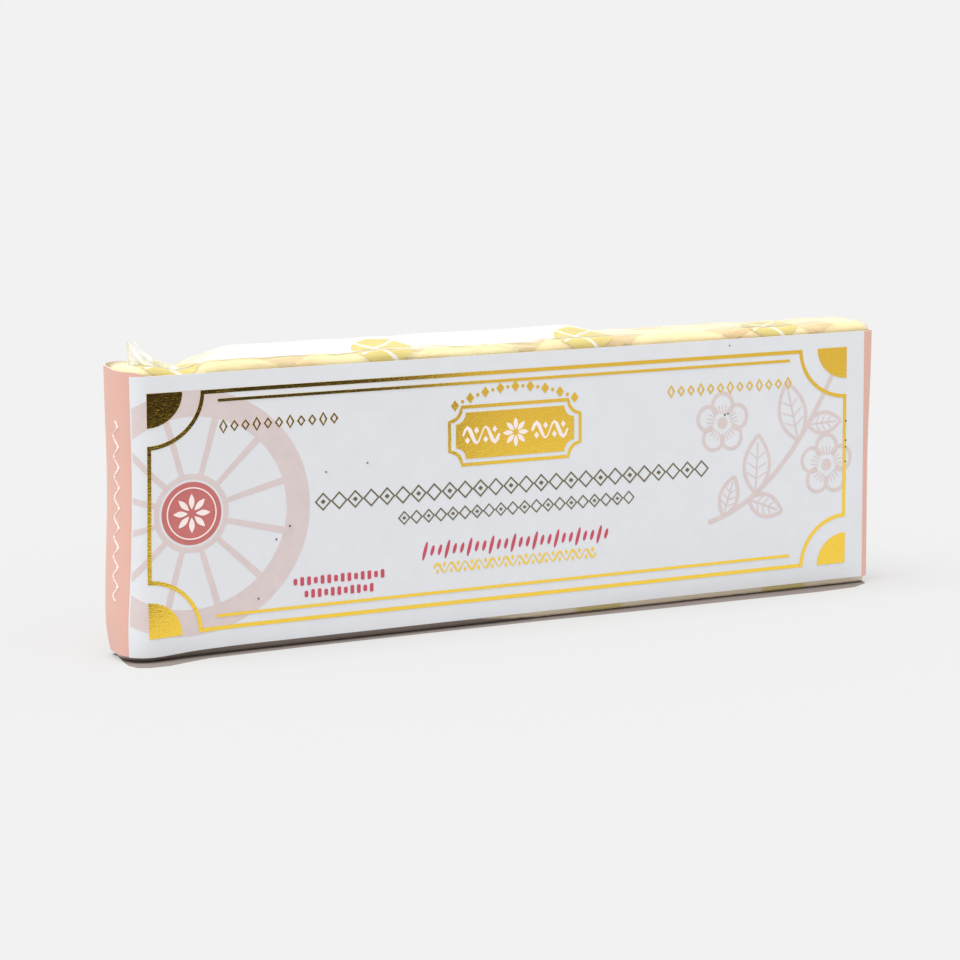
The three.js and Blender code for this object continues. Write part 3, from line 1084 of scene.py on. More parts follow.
def draw_border(piece, line):
    """The gold frame: four straight lines whose corners are cut out in arcs."""
    left = PRINT_SHIFT - BORDER_HALF
    right = PRINT_SHIFT + BORDER_HALF
    inner = line / 2
    for side_v, v in ((1, BORDER_LOW + inner), (-1, BORDER_HIGH - inner)):
        from_left = BORDER_CUT_U * CORNER_SHARES.get((-1, side_v), 1.0)
        from_right = BORDER_CUT_U * CORNER_SHARES.get((1, side_v), 1.0)
        add_ribbon(piece, [(left + from_left, v), (right - from_right, v)], line)
    for u in (left + inner, right - inner):
        ends = [(u, BORDER_LOW + BORDER_CUT_V), (u, BORDER_HIGH - BORDER_CUT_V)]
        add_ribbon(piece, ends, line)
    for u, v, side_u, side_v, share in border_corners():
        reach = BORDER_CUT_U * share - inner
        arc = arc_points(0.0, 0.0, reach, BORDER_CUT_V - inner, 0, 90, 18)
        add_ribbon(piece, [(u + side_u * a, v + side_v * b) for a, b in arc], line)
        quarter = [(0.0, 0.0)] + arc_points(0.0, 0.0, QUARTER_U * share, QUARTER_V, 0, 90, 14)
        add_field(piece, [(u + side_u * a, v + side_v * b) for a, b in quarter])


def draw_rules(piece, width):
    for start, end, v in RULES:
        bar = arc_points(PRINT_SHIFT + end, v, width / 2, width / 2, -90, 90, 6)
        bar += arc_points(PRINT_SHIFT + start, v, width / 2, width / 2, 90, 270, 6)
        add_field(piece, bar)


def plaque_outline(u, v, half_u, half_v, cut):
    """A rectangle whose corners are cut out in arcs."""
    outline = []
    for number, (side_u, side_v) in enumerate(((1, 1), (-1, 1), (-1, -1), (1, -1))):
        start = 270 + number * 90
        corner = (u + side_u * half_u, v + side_v * half_v)
        outline += arc_points(*corner, cut, cut, start, start - 90, 8)
    return outline


def draw_plaque(piece):
    """The middle ornament: a gold plaque, a fine line round it, and an arc of beads above."""
    add_field(piece, plaque_outline(*PLAQUE_AT, *PLAQUE_SIZE))
    add_loop(piece, plaque_outline(*PLAQUE_AT, *PLAQUE_EDGE_SIZE), PLAQUE_EDGE_WIDTH)
    for k in range(2 * BEAD_PAIRS + 1):
        share = -1 + k / BEAD_PAIRS
        at = (PLAQUE_AT[0] + BEAD_REACH * share, BEAD_TOP - BEAD_FALL * share * share)
        if k % 2:
            add_field(piece, oval_points(*at, BEAD_RADIUS, BEAD_RADIUS, 10))
        else:
            add_field(piece, lozenge(*at, *BEAD_LOZENGE))


def draw_gold_rows(piece):
    """Two short rows near the upper corners and a waved line below the middle."""
    for start, end, v in GOLD_ROWS:
        count = round((end - start) / GOLD_ROW_PITCH)
        for k in range(count + 1):
            u = PRINT_SHIFT + start + (end - start) * k / count
            half = GOLD_ROW_HALF_HEIGHTS[k % 3]
            add_loop(piece, lozenge(u, v, GOLD_ROW_HALF_WIDTH, half), GOLD_ROW_LINE)
    start, end, v = GOLD_WAVE
    ends = (PRINT_SHIFT + start, v), (PRINT_SHIFT + end, v)
    add_wave(piece, *ends, GOLD_WAVE_HEIGHT, GOLD_WAVES, GOLD_WAVE_LINE)
    pitch = (end - start) / GOLD_WAVES
    for k in range(GOLD_WAVES):
        u = PRINT_SHIFT + start + (k + 0.25) * pitch
        add_field(piece, lozenge(u, v - GOLD_SEED_OFF, *GOLD_SEED))
        add_field(piece, lozenge(u + pitch / 2, v + GOLD_SEED_OFF, *GOLD_SEED))


class NOUGAT_OT_gold_print(bpy.types.Operator):
    """Stamps the gold border, rules, plaque and small ornaments on the paper"""

    bl_idname = "nougat.gold_print"
    bl_label = "Gold foil print"

    def execute(self, context):
        settings = context.scene.nougat_print
        piece = open_piece("gold_print")
        draw_border(piece, settings.line / MM)
        draw_rules(piece, settings.rule / MM)
        draw_plaque(piece)
        draw_gold_rows(piece)
        return finish_print(piece, foil_material(settings.gold), GOLD_PROUD)


# The two olive rows: start, end, lower and upper edge, number of links and weight of the line.
# A bead's half sizes are shares of half the pitch and of the link's half height.
CHAINS = (
    (-48.2, 48.2, 26.0, 29.8, 26, 0.42),
    (-29.0, 29.0, 21.5, 24.5, 20, 0.36),
)
LINK_GAP = 0.15
LINK_BEAD = (0.32, 0.3)


def draw_chain(piece, start, end, low, high, count, weight):
    """A row of linked lozenges, every second one with a bead at its heart."""
    pitch = (end - start) / count
    middle = (low + high) / 2
    half_v = (high - low - weight) / 2
    for k in range(count):
        u = PRINT_SHIFT + start + (k + 0.5) * pitch
        half_u = pitch / 2 - LINK_GAP
        add_loop(piece, lozenge(u, middle, half_u, half_v), weight)
        if k % 2 == 0:
            bead = (LINK_BEAD[0] * pitch / 2, LINK_BEAD[1] * half_v)
            add_field(piece, lozenge(u, middle, *bead))


class NOUGAT_OT_olive_print(bpy.types.Operator):
    """Prints the two olive rows across the middle of the panel"""

    bl_idname = "nougat.olive_print"
    bl_label = "Olive print"

    def execute(self, context):
        settings = context.scene.nougat_print
        piece = open_piece("olive_print")
        for chain in CHAINS:
            draw_chain(piece, *chain)
        ink = ink_material("olive_ink", settings.olive, metallic=0.35, roughness=0.4)
        return finish_print(piece, ink)


# The rose rows: start, end, lower and upper edge, and number of leaves or bars. Heights are
# shares of the row's height, in turns of three, and a bar's half width is one of the pitch.
ROSE_LEAVES = (-22.7, 21.8, 13.9, 17.8, 25)
ROSE_LEAF_HEIGHTS = (1.0, 0.56, 0.56)
ROSE_LEAF_HALF_WIDTH = 0.4
ROSE_LEAF_DROP = 0.3
ROSE_LEAF_SLANT = 0.28
ROSE_BARS = ((-53.7, -32.0, 10.4, 13.1, 14), (-51.2, -34.6, 7.7, 10.4, 11))
ROSE_BAR_HALF_HEIGHTS = (0.24, 0.33, 0.33)
ROSE_BAR_HALF_WIDTH = 0.27
ROSE_BAR_CUT = 0.15


def draw_rose_rows(piece):
    """A row of leaves under the olive rows, and two short rows of bars at the lower left."""
    start, end, low, high, count = ROSE_LEAVES
    for k in range(count + 1):
        u = PRINT_SHIFT + start + (end - start) * k / count
        tall = (high - low) / 2 * ROSE_LEAF_HEIGHTS[k % 3]
        middle = (low + high) / 2 - ROSE_LEAF_DROP
        leaf = oval_points(u, middle, ROSE_LEAF_HALF_WIDTH, tall, 20)
        add_field(piece, [(a + ROSE_LEAF_SLANT * (b - middle), b) for a, b in leaf])
    for start, end, low, high, count in ROSE_BARS:
        pitch = (end - start) / count
        for k in range(count):
            u = PRINT_SHIFT + start + (k + 0.5) * pitch
            half_u = ROSE_BAR_HALF_WIDTH * pitch
            half_v = ROSE_BAR_HALF_HEIGHTS[k % 3] * (high - low)
            middle = (low + high) / 2
            add_field(piece, plaque_outline(u, middle, half_u, half_v, ROSE_BAR_CUT))


DISC_AT = (-76.9, 27.9)
DISC_RADIUS = 6.4
DISC_LINE_RADIUS = 5.2
DISC_LINE_WIDTH = 0.26


class NOUGAT_OT_rose_print(bpy.types.Operator):
    """Prints the rose rows"""

    bl_idname = "nougat.rose_print"
    bl_label = "Rose print"

    def execute(self, context):
        settings = context.scene.nougat_print
        piece = open_piece("rose_print")
        draw_rose_rows(piece)
        return finish_print(piece, ink_material("rose_ink", settings.rose))


class NOUGAT_OT_rose_disc(bpy.types.Operator):
    """Prints the round rose field"""

    bl_idname = "nougat.rose_disc"
    bl_label = "Rose disc"

    def execute(self, context):
        settings = context.scene.nougat_print
        piece = open_piece("rose_disc")
        add_field(piece, oval_points(*DISC_AT, DISC_RADIUS, DISC_RADIUS, 60))
        return finish_print(piece, ink_material("disc_ink", settings.disc))


# The flowers of eight petals: where a petal starts and ends and how wide it is at its widest.
# All are thin at both ends.
DISC_FLOWER = (0.9, 3.9, 1.1)
PLAQUE_FLOWER = (0.6, 3.1, 0.95)
FLOWER_ENDS = 0.1


def draw_star(piece, at, near, far, width):
    """The eight petals of a plain flower, standing round a place."""
    for angle in range(0, 360, 45):
        base = place_round(at, angle, near)
        tip = place_round(at, angle, far)
        path = [base.lerp(tip, j / 6) for j in range(7)]
        add_ribbon(piece, path, lambda share: FLOWER_ENDS + width * math.sin(math.pi * share))


# The vine up the left end: its middle on the flat paper, its ends and its number of waves.
VINE = (PERIMETER + CORNER_START - CORNER_FRONT_LEFT * QUARTER + 0.9, 10.6, 46.2, 9)
VINE_SWAY = 0.85
VINE_LINE = 0.3
VINE_LEAF = (0.36, 0.42)
VINE_LEAF_OFF = 0.75

# The waved lines beside the flower on the plaque, measured from its middle, and their beads.
SCROLL = (4.0, 12.8)
SCROLL_HEIGHT = 1.7
SCROLL_WAVES = 2
SCROLL_LINE = 0.8
SCROLL_BEADS = (5.1, 7.3, 9.5, 11.7)
SCROLL_BEAD = (0.6, 0.75)


def draw_end_vine(piece):
    """A thin vine that climbs the left end: a waved stem with a small leaf in each bend."""
    middle, low, high, waves = VINE
    add_wave(piece, (middle, low), (middle, high), VINE_SWAY, waves, VINE_LINE)
    for k in range(2 * waves):
        v = low + (high - low) * (k + 0.5) / (2 * waves)
        side = VINE_LEAF_OFF if k % 2 else -VINE_LEAF_OFF
        add_field(piece, lozenge(middle + side, v, *VINE_LEAF))


def draw_plaque_flower(piece):
    """A small flower between two waved lines with beads, on the gold plaque."""
    u, v = PLAQUE_AT
    draw_star(piece, PLAQUE_AT, *PLAQUE_FLOWER)
    for side in (-1, 1):
        ends = [(u + side * far, v) for far in SCROLL]
        add_wave(piece, *ends, SCROLL_HEIGHT, SCROLL_WAVES, SCROLL_LINE)
        for k, far in enumerate(SCROLL_BEADS):
            bead = (u + side * far, v + (side if k % 2 else -side))
            add_field(piece, lozenge(*bead, *SCROLL_BEAD))


class NOUGAT_OT_white_print(bpy.types.Operator):
    """Prints the white ornaments: on the disc, on the plaque and up the left end"""

    bl_idname = "nougat.white_print"
    bl_label = "White print"

    def execute(self, context):
        settings = context.scene.nougat_print
        piece = open_piece("white_print")
        ring = oval_points(*DISC_AT, DISC_LINE_RADIUS, DISC_LINE_RADIUS, 60)
        add_loop(piece, ring, DISC_LINE_WIDTH)
        draw_star(piece, DISC_AT, *DISC_FLOWER)
        draw_plaque_flower(piece)
        draw_end_vine(piece)
        return finish_print(piece, ink_material("white_ink", settings.white), WHITE_PROUD)


# Small dark specks on the paper and on the border's right side: place and half width.
SPECKS = (
    (-62.5, 9.1, 0.17),
    (-58.3, 21.0, 0.17),
    (-55.2, 23.5, 0.19),
    (-46.8, 34.0, 0.15),
    (-37.2, 35.2, 0.15),
    (51.2, 39.4, 0.2),
    (52.0, 39.6, 0.16),
    (52.4, 54.6, 0.14),
    (83.8, 35.9, 0.2),
    (83.8, 31.5, 0.19),
    (83.8, 30.0, 0.16),
    (83.8, 26.7, 0.19),
)


class NOUGAT_OT_specks(bpy.types.Operator):
    """Scatters the few dark specks that the paper shows"""

    bl_idname = "nougat.specks"
    bl_label = "Specks"

    def execute(self, context):
        settings = context.scene.nougat_print
        piece = open_piece("specks")
        for u, v, half in SPECKS:
            add_field(piece, oval_points(u, v, half, 1.2 * half, 8))
        return finish_print(piece, ink_material("speck", settings.speck), SPECK_PROUD)


# The pale wheel: radii and width of its rim and hub, where its spokes start and end, how wide
# a spoke is at each end, and how far from the cut edge the wheel is cut off.
WHEEL_RINGS = ((23.7, 22.2, 5.3), (7.45, 7.45, 1.15))
SPOKES = 12
SPOKE_NEAR = 7.6
SPOKE_FAR = (21.6, 20.4)
SPOKE_WIDTH = 1.1
SPOKE_WIDENING = 0.35
WHEEL_GAP = 0.3

# The pale spray: its stem, its leaves (place on the stem, side and length) and its blossoms
# (middle and radius).
STEM = ((47.0, 15.8), (67.0, 20.0), (82.0, 50.5))
STEM_WIDTH = 1.1
LEAVES = ((4, 1, 9.0), (11, -1, 9.5), (13, 1, 13.0), (26, 1, 13.5), (29, -1, 9.0))
BLOSSOMS = (((50.6, 37.6), 6.6), ((78.6, 26.4), 6.8))
OUTLINE_WIDTH = 0.85
VEIN_WIDTH = 0.28
STAMEN_WIDTH = 0.26

# Shares of a leaf's length and of a blossom's radius, with angles in degrees.
LEAF_AHEAD = 0.62
LEAF_OUT = 0.8
LEAF_HALF_WIDTH = 0.52
LEAF_BELLY = 0.45
LEAF_STEPS = 12
MIDRIB_LENGTH = 0.86
VEINS = (3, 5, 7)
VEIN_LENGTH = 0.75
PETAL_AT = 0.6
PETAL_RADIUS = 0.4
PETAL_HALF_TURN = 142
STAMEN_TURNS = (-14, 0, 14)
STAMEN_ENDS = (0.32, 0.62)
HEART_RADIUS = 0.2


def draw_wheel(piece):
    """A large pale wheel round the disc: rim, hub and plain straight spokes."""
    for half_u, half_v, width in WHEEL_RINGS:
        add_loop(piece, oval_points(*DISC_AT, half_u, half_v, 96), width)
    for k in range(SPOKES):
        angle = 360 * (k + 0.5) / SPOKES
        near = place_round(DISC_AT, angle, SPOKE_NEAR)
        far = place_round(DISC_AT, angle, *SPOKE_FAR)
        path = [near.lerp(far, j / 4) for j in range(5)]
        add_ribbon(piece, path, lambda share: SPOKE_WIDTH + SPOKE_WIDENING * share)


def curve_between(start, bend, end, steps):
    """Points of a smooth curve from start to end, drawn towards bend."""
    points = []
    for k in range(steps + 1):
        t = k / steps
        a = (1 - t) ** 2
        b = 2 * t * (1 - t)
        points.append(Vector(start) * a + Vector(bend) * b + Vector(end) * t * t)
    return points


def draw_leaf(piece, base, tip, width):
    """The outline of a leaf with its midrib and a few side veins."""
    side = Vector((base.y - tip.y, tip.x - base.x)).normalized() * width
    middle = base.lerp(tip, LEAF_BELLY)
    low = curve_between(base, middle + side, tip, LEAF_STEPS)
    high = curve_between(base, middle - side, tip, LEAF_STEPS)
    add_ribbon(piece, low, OUTLINE_WIDTH)
    add_ribbon(piece, high, OUTLINE_WIDTH)
    add_ribbon(piece, [base, base.lerp(tip, MIDRIB_LENGTH)], 0.5 * OUTLINE_WIDTH)
    for k in VEINS:
        for edge in (low, high):
            start = base.lerp(tip, k / LEAF_STEPS)
            add_ribbon(piece, [start, start.lerp(edge[k + 2], VEIN_LENGTH)], VEIN_WIDTH)


def draw_spray(piece):
    """A pale line drawing: one bending stem with large leaves and round five-petalled
    blossoms."""
    stem = curve_between(*STEM, 40)
    add_ribbon(piece, stem, STEM_WIDTH)
    for k, side, length in LEAVES:
        base = stem[k]
        ahead = (stem[k + 1] - stem[k - 1]).normalized()
        out = Vector((-ahead.y, ahead.x)) * side
        tip = base + LEAF_AHEAD * length * ahead + LEAF_OUT * length * out
        draw_leaf(piece, base, tip, LEAF_HALF_WIDTH * length)
    for at, radius in BLOSSOMS:
        petal_radius = PETAL_RADIUS * radius
        for angle in range(90, 450, 72):
            out = place_round(at, angle, PETAL_AT * radius)
            turns = (angle - PETAL_HALF_TURN, angle + PETAL_HALF_TURN)
            petal = arc_points(*out, petal_radius, petal_radius, *turns, 20)
            add_ribbon(piece, petal, OUTLINE_WIDTH)
            for turn in STAMEN_TURNS:
                ends = [place_round(at, angle + turn, share * radius) for share in STAMEN_ENDS]
                add_ribbon(piece, ends, STAMEN_WIDTH)
        add_field(piece, oval_points(*at, HEART_RADIUS * radius, HEART_RADIUS * radius, 12))


class NOUGAT_OT_pale_print(bpy.types.Operator):
    """Prints the pale wheel on the left and the pale flowering spray on the right"""

    bl_idname = "nougat.pale_print"
    bl_label = "Pale print"

    def execute(self, context):
        settings = context.scene.nougat_print
        piece = open_piece("pale_print")
        draw_wheel(piece)
        clip_left(CUT_EDGE + WHEEL_GAP)
        draw_spray(piece)
        return finish_print(piece, ink_material("pale_ink", settings.tint), PALE_PROUD)


class NOUGAT_OT_film(bpy.types.Operator):
    """Makes the clear film that is drawn round the nougat"""

    bl_idname = "nougat.film"
    bl_label = "Clear film"

    def execute(self, context):
        settings = context.scene.nougat_film
        piece = open_piece("film_wrap")
        loft(piece, bar_rings(0.0, 0.0), RING_MIDDLE)
        add_modifier(piece, "SOLIDIFY", thickness=settings.thickness, offset=-1.0)
        close_piece(piece)
        bpy.ops.object.shade_smooth()
        piece.data.materials.append(
            film_material(settings.tint, settings.printed, settings.pitch)
        )
        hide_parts("wrapped_nougat")
        return {"FINISHED"}


# The gathered corner of the film that stands up at the left end.
EAR_LEFT = -87.7
EAR_TIP_LENGTH = 2.7
EAR_FOOT_LENGTH = 12.0
EAR_Y = -1.4
EAR_LOW = TOP_LEVEL - 1.5
EAR_HIGH = TOP_LEVEL + 4.6
EAR_PLEATS = 7
EAR_AROUND = 84
EAR_STEPS = 16
EAR_EDGE_ANGLE = 40
EAR_NARROWING = 2.1
EAR_LEAN = 0.4
EAR_FOLD_DEPTH = 0.3
EAR_FOLD_TURN = 0.9
EAR_TIP_HALF_DEPTH = 0.6
EAR_FOOT_HALF_DEPTH = 2.6
EAR_THINNING = 1.5
EAR_RAGGED = 0.1


def ear_rings():
    """Rings of the gathered corner, from its wide foot in the film to its ragged tip."""
    rings = []
    for step in range(EAR_STEPS + 1):
        t = step / EAR_STEPS
        longer = (EAR_FOOT_LENGTH - EAR_TIP_LENGTH) * (1 - t) ** EAR_NARROWING
        length = EAR_TIP_LENGTH + longer
        thicker = (EAR_FOOT_HALF_DEPTH - EAR_TIP_HALF_DEPTH) * (1 - t) ** EAR_THINNING
        half_depth = EAR_TIP_HALF_DEPTH + thicker
        left = EAR_LEFT - EAR_LEAN * t
        ring = []
        for k in range(EAR_AROUND):
            angle = 2 * math.pi * k / EAR_AROUND
            pleat = abs(math.sin(EAR_PLEATS * angle / 2 + EAR_FOLD_TURN * t))
            fold = 1 - EAR_FOLD_DEPTH * pleat
            x = left + length / 2 * (1 + fold * math.cos(angle))
            y = EAR_Y + half_depth * fold * math.sin(angle)
            ragged = 1 - EAR_RAGGED * abs(math.sin(2.5 * angle + 0.6))
            ring.append(placed(x, y, EAR_LOW + (EAR_HIGH - EAR_LOW) * t * ragged))
        rings.append(ring)
    return rings


class NOUGAT_OT_film_ear(bpy.types.Operator):
    """Makes the gathered corner of film that stands up at the left end"""

    bl_idname = "nougat.film_ear"
    bl_label = "Film ear"

    def execute(self, context):
        settings = context.scene.nougat_film
        piece = open_piece("film_ear")
        loft(piece, ear_rings(), 0)
        close_piece(piece)
        bpy.ops.object.shade_smooth_by_angle(angle=math.radians(EAR_EDGE_ANGLE))
        piece.data.materials.append(ear_material(settings.tint))
        return {"FINISHED"}


class NOUGAT_OT_nougat(bpy.types.Operator):
    """Makes the slab of nougat inside the film"""

    bl_idname = "nougat.slab"
    bl_label = "Nougat"

    def execute(self, context):
        settings = context.scene.nougat_food
        piece = open_piece("nougat_slab")
        loft(piece, bar_rings(NOUGAT_INSET, NOUGAT_LOWER), RING_MIDDLE)
        close_piece(piece)
        bpy.ops.object.shade_smooth()
        piece.data.materials.append(nougat_material(settings.nougat))
        return {"FINISHED"}


# An almond's width and thickness are shares of its length. The rest is in millimetres.
ALMOND_WIDTH = 0.56
ALMOND_THICKNESS = 0.36
ALMOND_UNDER_FILM = 0.25
ALMOND_PRESSED = 0.24
ALMOND_END_GAP = 12.5
ALMOND_PINCH = 0.38
ALMOND_PINCH_FROM = 0.45


def held_by_film(x, y, z):
    """Where the film lets a point of an almond lie, which it presses flat."""
    reach = HALF_DEPTH - SKIN - ALMOND_UNDER_FILM
    y = max(-reach, min(reach, y))
    short = TOP_ROUND - min(TOP_ROUND, reach - abs(y))
    drop = TOP_ROUND - math.sqrt(TOP_ROUND**2 - short**2)
    z = min(z, top_height(x, y) - ALMOND_UNDER_FILM - drop)
    z = max(z, ALMOND_UNDER_FILM)
    shift = film_uneven(x, y, z)
    return placed(x, y - shift, z + shift)


def almond_mesh(length):
    """One almond lying along X, modelled once: a round body, flattened and drawn to a point."""
    bpy.ops.object.select_all(action="DESELECT")
    bpy.ops.mesh.primitive_uv_sphere_add(segments=32, ring_count=24, radius=0.5)
    almond = bpy.context.object
    bpy.ops.object.mode_set(mode="EDIT")
    bpy.ops.transform.rotate(value=QUARTER, orient_axis="Y", center_override=(0.0, 0.0, 0.0))
    bpy.ops.transform.resize(value=(length, ALMOND_WIDTH * length, ALMOND_THICKNESS * length))
    bpy.ops.object.mode_set(mode="OBJECT")
    for vertex in almond.data.vertices:
        share = vertex.co.x / length + 0.5
        pinch = 1.0 - ALMOND_PINCH * smooth(share, ALMOND_PINCH_FROM, 1.0)
        vertex.co.y *= pinch
        vertex.co.z *= pinch
    return almond


def almond_turn(up, number, share, depth, chance):
    """How an almond is turned and moved: at the upper edge upright on one side or the other,
    and at the foot lying flat. share says how far along the edge it is."""
    reach = HALF_LENGTH - ALMOND_END_GAP
    x = -reach + 2 * reach * share + chance.uniform(-3, 3)
    pressed = ALMOND_PRESSED * chance.uniform(0.4, 1.0)
    if up:
        side = 1 if number % 2 else -1
        y = side * (HALF_DEPTH - SKIN - NOUGAT_INSET - depth + pressed)
        z = FOOT + BAND_HEIGHT + chance.uniform(-0.9, 1.1)
        roll = 90 + chance.uniform(-12, 12)
    else:
        y = chance.uniform(-0.8, 0.8)
        z = NOUGAT_INSET + depth - pressed
        roll = chance.uniform(-5, 5)
    turn = chance.uniform(-6, 6) + 180 * chance.randint(0, 1)
    turned = Matrix.Rotation(math.radians(turn), 4, "Z")
    turned @= Matrix.Rotation(math.radians(roll), 4, "X")
    return Matrix.Translation(Vector((x, y, z))) @ turned


class NOUGAT_OT_almonds(bpy.types.Operator):
    """Sets almonds in the nougat's upper and lower edge, where the film leaves them to be seen"""

    bl_idname = "nougat.almonds"
    bl_label = "Almonds"

    def execute(self, context):
        settings = context.scene.nougat_food
        chance = random.Random(settings.seed)
        pattern = almond_mesh(settings.almond_length / MM)
        copies = []
        depth = ALMOND_THICKNESS / 2 * settings.almond_length / MM
        for up in (True, False):
            for k in range(settings.almonds):
                share = k / (settings.almonds - 1)
                copy = pattern.copy()
                copy.data = pattern.data.copy()
                context.scene.collection.objects.link(copy)
                copy.data.transform(almond_turn(up, k, share, depth, chance))
                for vertex in copy.data.vertices:
                    vertex.co = held_by_film(*vertex.co)
                copies.append(copy)
        bpy.data.objects.remove(pattern)
        bpy.ops.object.select_all(action="DESELECT")
        for copy in copies:
            copy.select_set(True)
        context.view_layer.objects.active = copies[0]
        bpy.ops.object.join()
        piece = context.object
        piece.name = "almonds"
        close_piece(piece)
        bpy.ops.object.shade_smooth()
        piece.data.materials.append(almond_material(settings.almond))
        return {"FINISHED"}


# The camera stands left of the bar and a little above it. Angles are in degrees.
CAMERA_AT = Vector((-333.36, -581.93, 125.97)) * MM
CAMERA_YAW = 29.31
CAMERA_DOWN = 8.18
CAMERA_ROLL = -0.35
CAMERA_LENS = 118.5
SENSOR_WIDTH = 36.0
FLOOR_SIZE = 60.0
SUN_FROM = (-0.3, -0.1, 0.95)
SUN_ANGLE = 50.0
SHADOW_COLOUR = srgb(146, 136, 131)
SHADOW_LIFT = 0.03
DARK_CARD_COLOUR = (0.042, 0.036, 0.075)
DARK_CARD_SIZE = (0.24, 0.114, 1.0)
DARK_CARD_AT = (-0.055, -0.165, 0.063)
DIM_CARD_COLOUR = (0.76, 0.7, 0.7)
DIM_CARD_SIZE = (0.26, 0.11, 1.0)
DIM_CARD_AT = (0.195, -0.165, 0.067)


def dull_material(name, colour):
    """A material of one colour that doesn't shine."""
    material, tree, shader = new_material(name, 0.9)
    shader.inputs["Base Color"].default_value = (*colour, 1.0)
    shader.inputs["Specular IOR Level"].default_value = 0.0
    return material


def make_camera(context):
    data = bpy.data.cameras.new("camera")
    data.lens = CAMERA_LENS
    data.sensor_width = SENSOR_WIDTH
    camera = bpy.data.objects.new("camera", data)
    context.scene.collection.objects.link(camera)
    turns = Matrix.Rotation(math.radians(-CAMERA_YAW), 4, "Z")
    turns @= Matrix.Rotation(math.radians(90 - CAMERA_DOWN), 4, "X")
    turns @= Matrix.Rotation(math.radians(CAMERA_ROLL), 4, "Z")
    shift = Vector((SIDE_SHIFT, BACK_SHIFT, 0.0)) * MM
    camera.matrix_world = Matrix.Translation(CAMERA_AT + shift) @ turns
    context.scene.camera = camera


def add_soft_sun(context, towards, strength):
    """A wide even light from above. towards points from the bar to it."""
    data = bpy.data.lights.new("soft_sun", "SUN")
    data.energy = strength
    data.angle = math.radians(SUN_ANGLE)
    light = bpy.data.objects.new("soft_sun", data)
    context.scene.collection.objects.link(light)
    light.rotation_mode = "QUATERNION"
    light.rotation_quaternion = Vector(towards).to_track_quat("Z", "Y")


def add_card(name, colour, size, at):
    """A card that only mirror reflections see, in front of the bar, for the foil's upper half."""
    bpy.ops.object.select_all(action="DESELECT")
    bpy.ops.mesh.primitive_plane_add(size=1.0)
    card = bpy.context.object
    card.name = name
    card.scale = size
    card.rotation_euler = (QUARTER, 0.0, 0.0)
    card.location = at
    card.data.materials.append(dull_material(name, colour))
    card.visible_camera = False
    card.visible_diffuse = False
    card.visible_shadow = False


# The narrow dark shadow on the floor, in front of the bar's foot: its front edge, from the
# left.
SHADOW_EDGE = (
    (-89.8, 2.0),
    (-91.3, -4.5),
    (-91.8, -8.0),
    (-91.1, -11.0),
    (-88.9, -12.3),
    (-84.7, -12.4),
    (-79.7, -10.7),
    (-74.5, -9.3),
    (-54.0, -8.7),
    (-26.0, -8.8),
    (3.0, -9.2),
    (32.0, -10.3),
    (74.0, -11.3),
    (84.4, -10.5),
    (89.5, -7.5),
    (91.5, -2.0),
)
SHADOW_BACK = ((90.0, 5.0), (-90.0, 5.0))


def add_contact_shadow():
    """A dark patch on the floor for the crisp shadow that the bar stands in."""
    bpy.ops.object.select_all(action="DESELECT")
    points = [*SHADOW_EDGE, *SHADOW_BACK]
    bpy.ops.mesh.primitive_circle_add(vertices=len(points), radius=1.0, fill_type="NGON")
    patch = bpy.context.object
    patch.name = "contact_shadow"
    for vertex, (x, y) in zip(patch.data.vertices, points):
        vertex.co = Vector((x + SIDE_SHIFT, y + BACK_SHIFT, SHADOW_LIFT)) * MM
    patch.data.materials.append(dull_material("contact_shadow", SHADOW_COLOUR))


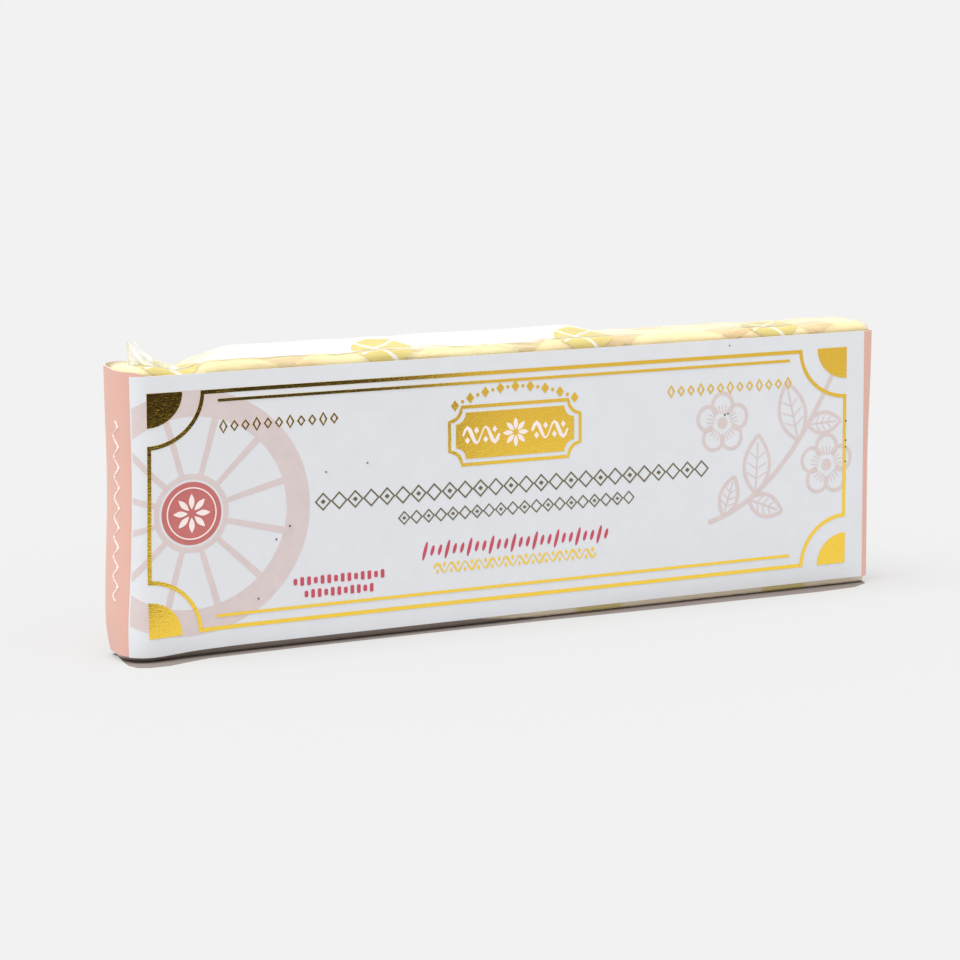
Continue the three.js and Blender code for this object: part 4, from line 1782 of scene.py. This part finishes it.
class NOUGAT_OT_stage(bpy.types.Operator):
    """Sets up the pale floor, the soft lights and the camera"""

    bl_idname = "nougat.stage"
    bl_label = "Stage"

    def execute(self, context):
        settings = context.scene.nougat_stage
        bpy.ops.object.select_all(action="DESELECT")
        bpy.ops.mesh.primitive_plane_add(size=FLOOR_SIZE)
        floor = context.object
        floor.name = "floor"
        material = dull_material("floor", settings.floor)
        shader = material.node_tree.nodes["Principled BSDF"]
        shader.inputs["Emission Color"].default_value = (1.0, 1.0, 1.0, 1.0)
        shader.inputs["Emission Strength"].default_value = settings.glow
        floor.data.materials.append(material)
        add_contact_shadow()
        world = bpy.data.worlds.new("world")
        context.scene.world = world
        world.use_nodes = True
        sky = world.node_tree.nodes["Background"]
        sky.inputs["Color"].default_value = (1.0, 1.0, 1.0, 1.0)
        sky.inputs["Strength"].default_value = settings.world
        add_soft_sun(context, SUN_FROM, settings.sun)
        add_card("dark_card", DARK_CARD_COLOUR, DARK_CARD_SIZE, DARK_CARD_AT)
        add_card("dim_card", DIM_CARD_COLOUR, DIM_CARD_SIZE, DIM_CARD_AT)
        make_camera(context)
        context.scene.view_settings.view_transform = "Standard"
        return {"FINISHED"}


SETTINGS = {
    "nougat_band": BandSettings,
    "nougat_print": PrintSettings,
    "nougat_film": FilmSettings,
    "nougat_food": FoodSettings,
    "nougat_stage": StageSettings,
}
OPERATORS = (
    NOUGAT_OT_stage,
    NOUGAT_OT_paper_band,
    NOUGAT_OT_pale_print,
    NOUGAT_OT_rose_disc,
    NOUGAT_OT_rose_print,
    NOUGAT_OT_olive_print,
    NOUGAT_OT_gold_print,
    NOUGAT_OT_white_print,
    NOUGAT_OT_specks,
    NOUGAT_OT_film,
    NOUGAT_OT_film_ear,
    NOUGAT_OT_nougat,
    NOUGAT_OT_almonds,
)


class NOUGAT_PT_panel(bpy.types.Panel):
    """Lists the steps that build the bar"""

    bl_idname = "NOUGAT_PT_panel"
    bl_label = "Nougat bar"
    bl_space_type = "VIEW_3D"
    bl_region_type = "UI"
    bl_category = "Nougat bar"

    def draw(self, context):
        for operator in OPERATORS:
            self.layout.operator(operator.bl_idname)


def register():
    for settings in SETTINGS.values():
        bpy.utils.register_class(settings)
    for name, settings in SETTINGS.items():
        setattr(bpy.types.Scene, name, PointerProperty(type=settings))
    for made in (*OPERATORS, NOUGAT_PT_panel):
        bpy.utils.register_class(made)


def unregister():
    for made in (NOUGAT_PT_panel, *reversed(OPERATORS)):
        bpy.utils.unregister_class(made)
    for name, settings in SETTINGS.items():
        delattr(bpy.types.Scene, name)
        bpy.utils.unregister_class(settings)


def main():
    register()
    for operator in OPERATORS:
        group, name = operator.bl_idname.split(".")
        getattr(getattr(bpy.ops, group), name)()


if __name__ == "__main__":
    main()
